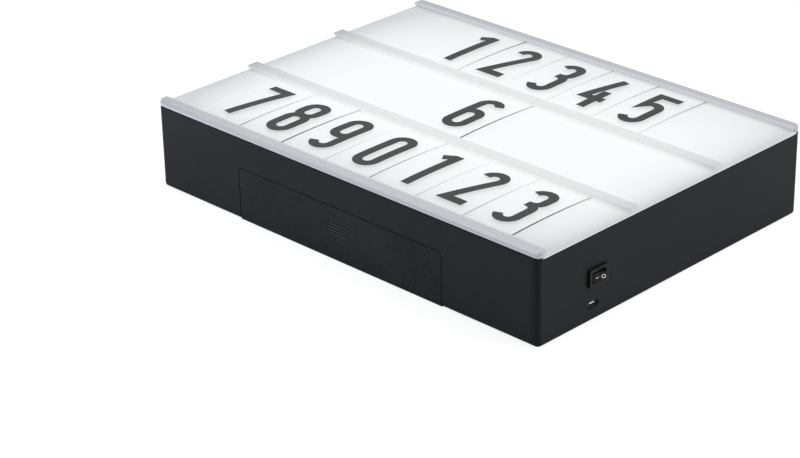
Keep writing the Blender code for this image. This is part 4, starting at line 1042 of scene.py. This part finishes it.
@dataclass(frozen=True)
class Numeral:
    """A narrow numeral drawn with a stroke of even width, about its own middle."""

    height: float = 45 * MM
    width: float = 17.5 * MM
    stroke: float = 5.8 * MM
    blank: float = 1.0 * MM
    flag_lean: float = math.radians(35)
    mitre_limit: float = 0.35
    least_step: float = 1e-7

    @property
    def x(self) -> float:
        """Half the width of the stroke's middle line, and the radius of its round parts."""
        return (self.width - self.stroke) / 2

    @property
    def y(self) -> float:
        """Half the height of the stroke's middle line."""
        return (self.height - self.stroke) / 2

    def paths(self, digit: str) -> list[Stroke]:
        """Draws the middle lines of a digit's strokes.

        Args:
            digit: one character from 0 to 9.

        Returns:
            Each stroke's points, and whether it closes on itself.
        """
        x, y, r = self.x, self.y, self.x
        high, low = y - r, r - y
        edge_x, edge_y = x + self.stroke / 2, self.height / 2
        waist = 0.06 * self.height
        tip = (-0.3 * r, waist)
        stem = 0.3 * x
        flag_x = stem - self.stroke / 2 * (1 - math.sin(self.flag_lean))
        flag_y = edge_y - self.stroke / 2 * math.cos(self.flag_lean)
        flag_end = (-x, flag_y - (flag_x + x) * math.tan(self.flag_lean))
        shapes: dict[str, list[Stroke]] = {
            "0": [(self.ring(high, low), True)],
            "1": [([(stem, -edge_y), (stem, edge_y)], False), ([(flag_x, flag_y), flag_end], False)],
            "2": [(arc((0, high), r, 180, -25) + [(-x, -y), (edge_x, -y)], False)],
            "3": [
                (arc((0, high), r, 165, 0) + arc((0, waist + r), r, 0, -90) + [tip], False),
                ([tip] + arc((0, waist - r), r, 90, 0) + arc((0, low), r, 0, -165), False),
            ],
            "4": [
                ([(0.1 * x, edge_y), (-x, -0.45 * y), (edge_x, -0.45 * y)], False),
                ([(0.45 * x, 0.15 * y), (0.45 * x, -edge_y)], False),
            ],
            "5": [
                (
                    [(edge_x, y), (-x, y), (-x, waist)]
                    + arc((0, waist - 0.3 * r), r, 150, 0)
                    + arc((0, low), r, 0, -165),
                    False,
                )
            ],
            "6": [(self.ring(waist - r, low), True), (arc((0, high), r, 15, 180) + [(-x, low)], False)],
            "7": [([(-edge_x, y), (x, y), (-0.35 * x, -edge_y)], False)],
            "8": [(self.ring(high, waist + 0.98 * r), True), (self.ring(waist - 0.98 * r, low), True)],
            "9": [(self.ring(high, r - waist), True), (arc((0, low), r, -165, 0) + [(x, high)], False)],
        }
        return shapes[digit]

    def ring(self, upper: float, lower: float) -> list[Point]:
        """Returns a closed loop with half-round ends about two heights."""
        return arc((0, upper), self.x, 0, 180) + arc((0, lower), self.x, 180, 360)

    def sides(self, path: list[Point], closed: bool) -> list[tuple[Vector, Vector]]:
        """Finds both edges of a stroke, with mitred corners.

        Args:
            path: the stroke's middle line.
            closed: whether it joins its own start.

        Returns:
            The left and the right edge's point at each point of the line.
        """
        points: list[Vector] = []
        for point in map(Vector, path):
            if not points or (point - points[-1]).length > self.least_step:
                points.append(point)
        count = len(points)
        found: list[tuple[Vector, Vector]] = []
        for index, here in enumerate(points):
            ways: list[Vector] = []
            if closed or index:
                ways.append((here - points[index - 1]).normalized())
            if closed or index < count - 1:
                ways.append((points[(index + 1) % count] - here).normalized())
            normals = [Vector((-way.y, way.x)) for way in ways]
            middle = sum(normals, Vector((0.0, 0.0))).normalized()
            reach = self.stroke / 2 / max(middle.dot(normals[0]), self.mitre_limit)
            found.append((here + middle * reach, here - middle * reach))
        return found

    def band(self, path: list[Point], closed: bool) -> bmesh.types.BMesh:
        """Widens a middle line into a flat band.

        Args:
            path: the middle line.
            closed: whether it joins its own start.

        Returns:
            The band as a thin closed solid that stands on z 0.
        """
        sides = self.sides(path, closed)
        count = len(sides)
        bm = bmesh.new()
        low, high = (
            [[bm.verts.new((*point, z)) for point in pair] for pair in sides] for z in (0.0, self.blank)
        )
        for index in range(count if closed else count - 1):
            after = (index + 1) % count
            bm.faces.new((high[index][0], high[index][1], high[after][1], high[after][0]))
            bm.faces.new((low[index][1], low[index][0], low[after][0], low[after][1]))
            for side in (0, 1):
                bm.faces.new((low[index][side], low[after][side], high[after][side], high[index][side]))
        if not closed:
            for index in (0, -1):
                bm.faces.new((low[index][0], low[index][1], high[index][1], high[index][0]))
        bmesh.ops.recalc_face_normals(bm, faces=bm.faces[:])
        return bm

    def mesh(self, digit: str) -> bpy.types.Mesh:
        """Joins a digit's strokes.

        Args:
            digit: one character from 0 to 9.

        Returns:
            The digit as a single thin solid that stands on z 0.
        """
        helpers = []
        for index, (path, closed) in enumerate(self.paths(digit)):
            band = bpy.data.meshes.new(f"stroke_{digit}_{index}")
            bm = self.band(path, closed)
            bm.to_mesh(band)
            bm.free()
            helper = bpy.data.objects.new(band.name, band)
            bpy.context.scene.collection.objects.link(helper)
            helpers.append(helper)
        for other in helpers[1:]:
            union = helpers[0].modifiers.new(other.name, "BOOLEAN")
            union.operation = "UNION"
            union.solver = "EXACT"
            union.object = other
        mesh = evaluated_mesh(helpers[0])
        for other in helpers[1:]:
            bpy.data.objects.remove(other, do_unlink=True)
        return mesh


@dataclass(frozen=True)
class CardRow:
    """One row of cards: its name, its digits and the seed of its edge lines."""

    name: str
    text: str
    seed: int


@dataclass
class LetterBoard:
    """The clear cards in their rows and the numerals printed on them."""

    rows: tuple[CardRow, ...] = (
        CardRow("bottom", "7890123", 1721),
        CardRow("middle", "6", 2077),
        CardRow("top", "12345", 1687),
    )
    bow: float = 1.0 * MM
    thickness: float = 0.5 * MM
    columns: int = 4
    steps: int = 24
    join: float = 0.001 * MM
    weakest_edge: float = 0.1
    ink_thickness: float = 0.06 * MM
    ink_gap: float = 0.02 * MM
    cut_step: float = 3.0 * MM
    numeral: Numeral = field(default_factory=Numeral)

    def pitch(self) -> float:
        """Returns the distance between two cards of a row."""
        return float(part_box("tile_bottom_2")[0][0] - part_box("tile_bottom_1")[0][0])

    def height_at(self, y: float, low: Vector, high: Vector) -> float:
        """Returns how high a card's lower side stands above its rails at one place across it."""
        across = 2 * (y - (low.y + high.y) / 2) / (high.y - low.y)
        return self.bow * max(0.0, 1 - across**2)

    def build_cards(self, row: CardRow) -> None:
        """Makes one row of cards with a tree that bends one card and repeats it.

        Args:
            row: the row.
        """
        low, high = corners(f"tile_{row.name}_1")
        nodes = Nodes(f"cards_{row.name}")
        count = nodes.size("Count", len(row.text))
        pitch = nodes.size("Pitch", self.pitch())
        width = nodes.size("Card width", float(high.x - low.x))
        height = nodes.size("Card height", float(high.y - low.y))
        bow = nodes.size("Bow", self.bow)
        thickness = nodes.size("Thickness", self.thickness)
        seed = nodes.size("Seed", row.seed)
        sizes = {"Size X": width, "Size Y": height, "Vertices X": self.columns, "Vertices Y": self.steps}
        grid = nodes.node("GeometryNodeMeshGrid", inputs=sizes).outputs["Mesh"]
        x, y, _ = nodes.split(nodes.node("GeometryNodeInputPosition").outputs[0])
        across = y / (height * 0.5)
        lift = nodes.vector(z=bow * (1.0 - across * across))
        bent = nodes.node("GeometryNodeSetPosition", inputs={0: grid, "Offset": lift}).outputs[0]
        push = {"Mesh": bent, "Individual": False, "Offset": nodes.vector(z=1.0), "Offset Scale": thickness}
        pushed = nodes.node("GeometryNodeExtrudeMesh", {"mode": "FACES"}, push).outputs["Mesh"]
        under = nodes.node("GeometryNodeFlipFaces", inputs={0: bent}).outputs[0]
        both = nodes.node("GeometryNodeJoinGeometry")
        for part in (under, pushed):
            nodes.feed(both.inputs[0], part)
        joined = {0: both.outputs[0], "Distance": self.join}
        card = nodes.node("GeometryNodeMergeByDistance", inputs=joined).outputs[0]
        outwards = 1.0 if low.y + high.y > 0 else -1.0
        card = nodes.store(card, ClearSheet.fade, "POINT", 1.0 - (across * outwards + 1.0) * 0.5)
        card = nodes.store(card, ClearSheet.distance, "POINT", width * 0.5 - x)
        cards = nodes.row(card, count, pitch, (0.0, (low.y + high.y) / 2, low.z))
        chance_inputs = {"Min": self.weakest_edge, "Max": 1.0, "Seed": seed}
        chance = nodes.node("FunctionNodeRandomValue", {"data_type": "FLOAT"}, chance_inputs).outputs["Value"]
        cards = nodes.store(cards, ClearSheet.strength, "INSTANCE", chance)
        piece = add_piece(f"cards_{row.name}", nodes.mesh(cards, Finish.CARD), Body.ROOT, "tile_clear")
        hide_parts(*(f"tile_{row.name}_{index + 1}" for index in range(len(row.text))))

    def build_print(self, row: CardRow) -> None:
        """Prints one row's numerals, each bent to its card.

        Args:
            row: the row.
        """
        low, high = corners(f"tile_{row.name}_1")
        middle_y = (low.y + high.y) / 2
        cuts = int(self.numeral.height / self.cut_step)
        for index, digit in enumerate(row.text):
            bm = bmesh.new()
            bm.from_mesh(self.numeral.mesh(digit))
            for step in range(1, cuts):
                y = self.numeral.height * (step / cuts - 0.5)
                geometry = bm.verts[:] + bm.edges[:] + bm.faces[:]
                bmesh.ops.bisect_plane(bm, geom=geometry, plane_co=(0, y, 0), plane_no=(0, 1, 0))
            x = (index - (len(row.text) - 1) / 2) * self.pitch()
            for vert in bm.verts:
                y = vert.co.y + middle_y
                top = low.z + self.height_at(y, low, high) + self.thickness + self.ink_gap
                layer = self.ink_thickness if vert.co.z > self.numeral.blank / 2 else 0.0
                vert.co = (vert.co.x + x, y, top + layer)
            mesh = bpy.data.meshes.new(f"numeral_{row.name}_{index + 1}")
            bm.to_mesh(mesh)
            bm.free()
            add_piece(mesh.name, mesh, Body.ROOT, "tile_clear", Finish.INK)

    def build(self) -> None:
        """Makes every row."""
        for row in self.rows:
            self.build_cards(row)
            self.build_print(row)


@dataclass
class Casing:
    """The black tray, the lit face and its rails."""

    mould_edge: float = 0.25 * MM
    rail_edge: float = 0.15 * MM
    panel_edge: float = 0.04 * MM
    cap_foot: float = 54.2 * MM
    ledge_top: float = 53.92 * MM

    def build(self) -> None:
        """Refines each shell from its CAD node."""
        refine("housing", Body.ROOT, "housing_black", Finish.HOUSING, self.mould_edge)
        refine("face_panel", Body.ROOT, "panel_white", Finish.FACE, self.panel_edge)
        for name, finish in (("rail_bottom", Finish.FRONT_RAIL), ("rail_top", Finish.REAR_RAIL)):
            refine(name, Body.ROOT, "rail_white", finish, self.panel_edge, {self.cap_foot: self.ledge_top})
        for name in ("rail_lower", "rail_upper"):
            refine(name, Body.ROOT, "rail_white", Finish.MID_RAIL, self.rail_edge)


@dataclass
class BatteryBay:
    """The door, the holder behind it, the cells and their contacts."""

    mould_edge: float = 0.25 * MM
    line_length: int = 3

    def build(self) -> None:
        """Refines the door and dresses what is behind it."""
        refine("battery_door", Body.DOOR, "door_black", Finish.DOOR, self.mould_edge)
        dress(Finish.HOLDER, "battery_holder")
        dress(Finish.CONTACT, "contact_bridge", "contact_negative", "contact_positive")
        dress(Finish.SPRING, "spring_negative", "spring_bridge")
        self.dress_cells()

    def dress_cells(self) -> None:
        """Gives each line of cells its sleeves, with the bands towards the positive end."""
        for first, towards in ((1, -1), (4, 1)):
            low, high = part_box(f"battery_{first + 1}")
            pitch = low[0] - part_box(f"battery_{first}")[0][0]
            sleeve = Sleeve(f"cell sleeve {first}", towards, pitch, (low[0] + high[0]) / 2)
            dress(sleeve, *(f"battery_{index}" for index in range(first, first + self.line_length)))


@dataclass
class Switch:
    """The rocker switch with its two printed marks."""

    edge: float = 0.12 * MM
    rocker_edge: float = 0.2 * MM
    swing: float = math.radians(26.0)
    pivot_depth: float = 2.2 * MM
    below_bezel: float = 0.1 * MM
    dash_length: float = 2.4 * MM
    stroke: float = 0.31 * MM
    ring: float = 2.4 * MM
    ring_steps: int = 32
    dash_place: float = -1.2 * MM
    ring_place: float = 2.85 * MM
    below_middle: float = 0.65 * MM
    mark_height: float = 0.04 * MM
    mark_gap: float = 0.02 * MM

    def build(self) -> None:
        """Refines the two mouldings, dresses the terminals and prints the marks."""
        refine("switch_body", Body.ROOT, "switch_black", Finish.BEZEL, self.edge)
        refine("switch_rocker", Body.ROCKER, "rocker_black", Finish.ROCKER, self.rocker_edge)
        dress(Finish.TERMINAL, "switch_terminal_1", "switch_terminal_2")
        u, v = self.dash_length / 2, self.stroke / 2
        self.print_mark("mark_on", [[(-u, -v), (u, -v), (u, v), (-u, v)]], self.dash_place, 0.0)
        radii = (self.ring / 2, self.ring / 2 - self.stroke)
        loops = [arc((0, 0), radius, 0, 360, self.ring_steps)[:-1] for radius in radii]
        self.print_mark("mark_off", loops, self.ring_place, self.swing)

    def print_mark(self, name: str, loops: list[list[Point]], place: float, lean: float) -> None:
        """Prints one mark on a half of the rocker.

        Args:
            name: the piece's name.
            loops: its outline, and the outline of its hole if it has one.
            place: how far from the valley it lies, along the switch.
            lean: the angle of that half of the rocker.
        """
        bm = bmesh.new()
        outer, *holes = ([bm.verts.new((u, v, 0.0)) for u, v in loop] for loop in loops)
        if holes:
            inner, count = holes[0], len(outer)
            faces = []
            for here in range(count):
                after = (here + 1) % count
                faces.append(bm.faces.new((outer[here], outer[after], inner[after], inner[here])))
        else:
            faces = [bm.faces.new(outer)]
        pushed = bmesh.ops.extrude_face_region(bm, geom=faces, use_keep_orig=True)
        moved = [item for item in pushed["geom"] if isinstance(item, bmesh.types.BMVert)]
        bmesh.ops.translate(bm, vec=(0, 0, self.mark_height), verts=moved)
        bmesh.ops.recalc_face_normals(bm, faces=bm.faces[:])
        low, high = corners("switch_body")
        top = self.pivot_depth - self.below_bezel
        pivot = Vector((high.x - self.pivot_depth, (low.y + high.y) / 2, (low.z + high.z) / 2))
        valley = pivot + Vector((top, -top * math.tan(self.swing / 2), 0.0))
        along = Vector((math.sin(lean), math.cos(lean), 0.0))
        out = Vector((math.cos(lean), -math.sin(lean), 0.0))
        up = Vector((0.0, 0.0, 1.0))
        middle = valley + along * place + out * self.mark_gap - up * self.below_middle
        turn = Matrix((along, up, out)).transposed()
        for vert in bm.verts:
            vert.co = middle + turn @ vert.co
        mesh = bpy.data.meshes.new(name)
        bm.to_mesh(mesh)
        bm.free()
        add_piece(name, mesh, Body.ROCKER, "rocker_black", Finish.MARK)


@dataclass
class PowerInlet:
    """The small power socket with its contacts, on its board."""

    shell_edge: float = 0.06 * MM
    finger_count: int = 5
    finger_pitch: float = 0.8 * MM
    finger_width: float = 0.62 * MM
    finger_wrap: float = 0.18 * MM
    finger_share: float = 0.8

    def build(self) -> None:
        """Refines the shell, dresses the tongue and the board and adds the contacts."""
        refine("usb_socket", Body.ROOT, "socket_steel", Finish.SOCKET, self.shell_edge)
        dress(Finish.TONGUE, "usb_tongue")
        dress(Finish.INLET_BOARD, "usb_board")
        self.build_fingers()

    def build_fingers(self) -> None:
        """Wraps the contact fingers round the front of the tongue with a tree."""
        low, high = corners("usb_tongue")
        reach = float(high.x - low.x) * self.finger_share
        nodes = Nodes("contact_fingers")
        count = nodes.size("Count", self.finger_count)
        pitch = nodes.size("Pitch", self.finger_pitch)
        width = nodes.size("Width", self.finger_width)
        length = nodes.size("Length", reach)
        thickness = nodes.size("Thickness", float(high.z - low.z) + 2 * self.finger_wrap)
        finger = nodes.node("GeometryNodeMeshCube", inputs={"Size": nodes.vector(length, width, thickness)})
        middle = (high.x + self.finger_wrap - reach / 2, (low.y + high.y) / 2, (low.z + high.z) / 2)
        fingers = nodes.row(finger.outputs[0], count, pitch, middle, axis=1)
        add_piece("contact_fingers", nodes.mesh(fingers, Finish.TIN), Body.ROOT, "socket_steel")


@dataclass
class LightEngine:
    """The reflector, the light strips with their emitters, the wires and the screws."""

    strips: tuple[int, ...] = (1, 2, 3)
    emitter_count: int = 6
    gel_radius: float = 1.8 * MM
    gel_height: float = 0.08 * MM
    gel_gap: float = 0.01 * MM
    gel_sides: int = 20

    def build(self) -> None:
        """Dresses the inner pieces and adds the emitters' gel."""
        dress(Finish.REFLECTOR, "reflector")
        dress(Finish.STRIP_BOARD, *(f"led_strip_{index}" for index in self.strips))
        dress(Finish.RED_WIRE, "wire_battery_positive", "wire_inlet_power")
        dress(Finish.BLACK_WIRE, "wire_battery_negative", "wire_inlet_ground")
        dress(Finish.WHITE_WIRE, "wire_switch_to_strip", "strip_lead_1", "strip_lead_2")
        dress(Finish.SCREW, *(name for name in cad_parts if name.startswith("screw_")))
        for index in self.strips:
            self.build_gel(index)

    def build_gel(self, index: int) -> None:
        """Makes the round gel windows along one strip with a tree.

        Args:
            index: the strip's number.
        """
        low, high = corners(f"led_strip_{index}")
        nodes = Nodes(f"emitter_gel_{index}")
        count = nodes.size("Count", self.emitter_count)
        pitch = nodes.size("Pitch", float(high.x - low.x) / self.emitter_count)
        radius = nodes.size("Radius", self.gel_radius)
        height = nodes.size("Height", self.gel_height)
        window_inputs = {"Vertices": self.gel_sides, "Radius": radius, "Depth": height}
        window = nodes.node("GeometryNodeMeshCylinder", inputs=window_inputs).outputs[0]
        middle = (0.0, (low.y + high.y) / 2, high.z + self.gel_height / 2 + self.gel_gap)
        windows = nodes.row(window, count, pitch, middle)
        add_piece(f"emitter_gel_{index}", nodes.mesh(windows, Finish.PHOSPHOR), Body.ROOT, "strip_white")


@dataclass(frozen=True)
class Lamp:
    """A square soft lamp that looks at the box; its size in metres and its power in watts."""

    name: str
    place: Place
    size: float
    power: float
    colour: Colour = WHITE
    aim: Place = (0.0, 0.0, 0.03)

    def build(self) -> None:
        """Adds the lamp to the scene."""
        data = bpy.data.lights.new(self.name, "AREA")
        data.size = self.size
        data.energy = self.power
        data.color = self.colour
        lamp = bpy.data.objects.new(self.name, data)
        lamp.location = self.place
        way = Vector(self.aim) - Vector(self.place)
        lamp.rotation_euler = way.to_track_quat("-Z", "Y").to_euler()
        bpy.context.scene.collection.objects.link(lamp)


@dataclass
class Studio:
    """The pale floor, the soft lamps and the camera at the photograph's angle."""

    camera_place: Place = (0.89487, -0.94589, 0.61643)
    camera_turn: Place = (63.979, 1.13, 44.792)
    lens: float = 110.37
    sensor: float = 36.0
    floor_size: float = 12.0
    floor_drop: float = 0.2 * MM
    floor_colour: Colour = (0.82, 0.82, 0.82)
    floor_seen: Colour = (0.3, 0.3, 0.3)
    floor_glow: float = 0.8
    floor_mirrored: float = 0.2
    world_strength: float = 0.45
    lamps: tuple[Lamp, ...] = (
        Lamp("left front", (-0.51, -0.45, 0.325), 0.4, 2.5, (0.86, 0.94, 1.0)),
        Lamp("right back", (1.3, 0.9, 1.1), 1.0, 19.0, (1.0, 0.985, 0.96)),
        Lamp("top", (-0.2, 0.2, 2.0), 1.8, 14.0),
    )

    def build(self) -> None:
        """Sets the whole studio up."""
        self.build_camera()
        self.build_floor()
        self.build_world()
        for lamp in self.lamps:
            lamp.build()
        bpy.context.scene.view_settings.view_transform = "Standard"

    def build_camera(self) -> None:
        """Places the camera that took the photograph."""
        data = bpy.data.cameras.new("camera")
        data.lens = self.lens
        data.sensor_width = self.sensor
        data.sensor_fit = "HORIZONTAL"
        camera = bpy.data.objects.new("camera", data)
        camera.location = self.camera_place
        camera.rotation_euler = [math.radians(angle) for angle in self.camera_turn]
        bpy.context.scene.collection.objects.link(camera)
        bpy.context.scene.camera = camera

    def build_floor(self) -> None:
        """Lays a floor that is white to the camera and keeps the soft shadow."""
        bm = bmesh.new()
        bmesh.ops.create_grid(bm, x_segments=1, y_segments=1, size=self.floor_size / 2)
        mesh = bpy.data.meshes.new("floor")
        bm.to_mesh(mesh)
        bm.free()
        floor = bpy.data.objects.new("floor", mesh)
        floor.location.z = -self.floor_drop
        bpy.context.scene.collection.objects.link(floor)
        surface = Surface("pale floor")
        camera, glossy, passing = surface.rays()
        seen = camera + (glossy + passing) * self.floor_mirrored
        surface.set(Base_Color=surface.mix(camera, self.floor_colour, self.floor_seen))
        surface.set(Roughness=0.9, Specular_IOR_Level=0.0)
        surface.set(Emission_Color=surface.scaled(WHITE, seen), Emission_Strength=self.floor_glow)
        mesh.materials.append(surface.material)

    def build_world(self) -> None:
        """Makes the backdrop white to the camera and in reflections, and an even, weaker light elsewhere."""
        world = bpy.data.worlds.new("studio")
        bpy.context.scene.world = world
        world.use_nodes = True
        back = world.node_tree.nodes["Background"]
        tree = Tree(world.node_tree)
        camera, glossy, passing = tree.rays()
        seen = camera.at_least(glossy).at_least(passing)
        tree.feed(back.inputs["Color"], (*WHITE, 1.0))
        tree.feed(back.inputs["Strength"], seen * (1.0 - self.world_strength) + self.world_strength)


def main() -> None:
    """Builds the light box and its studio."""
    logging.basicConfig(level=logging.INFO, format="%(name)s %(message)s")
    for part in (Casing(), LetterBoard(), BatteryBay(), Switch(), PowerInlet(), LightEngine(), Studio()):
        part.build()


if __name__ == "__main__":
    main()
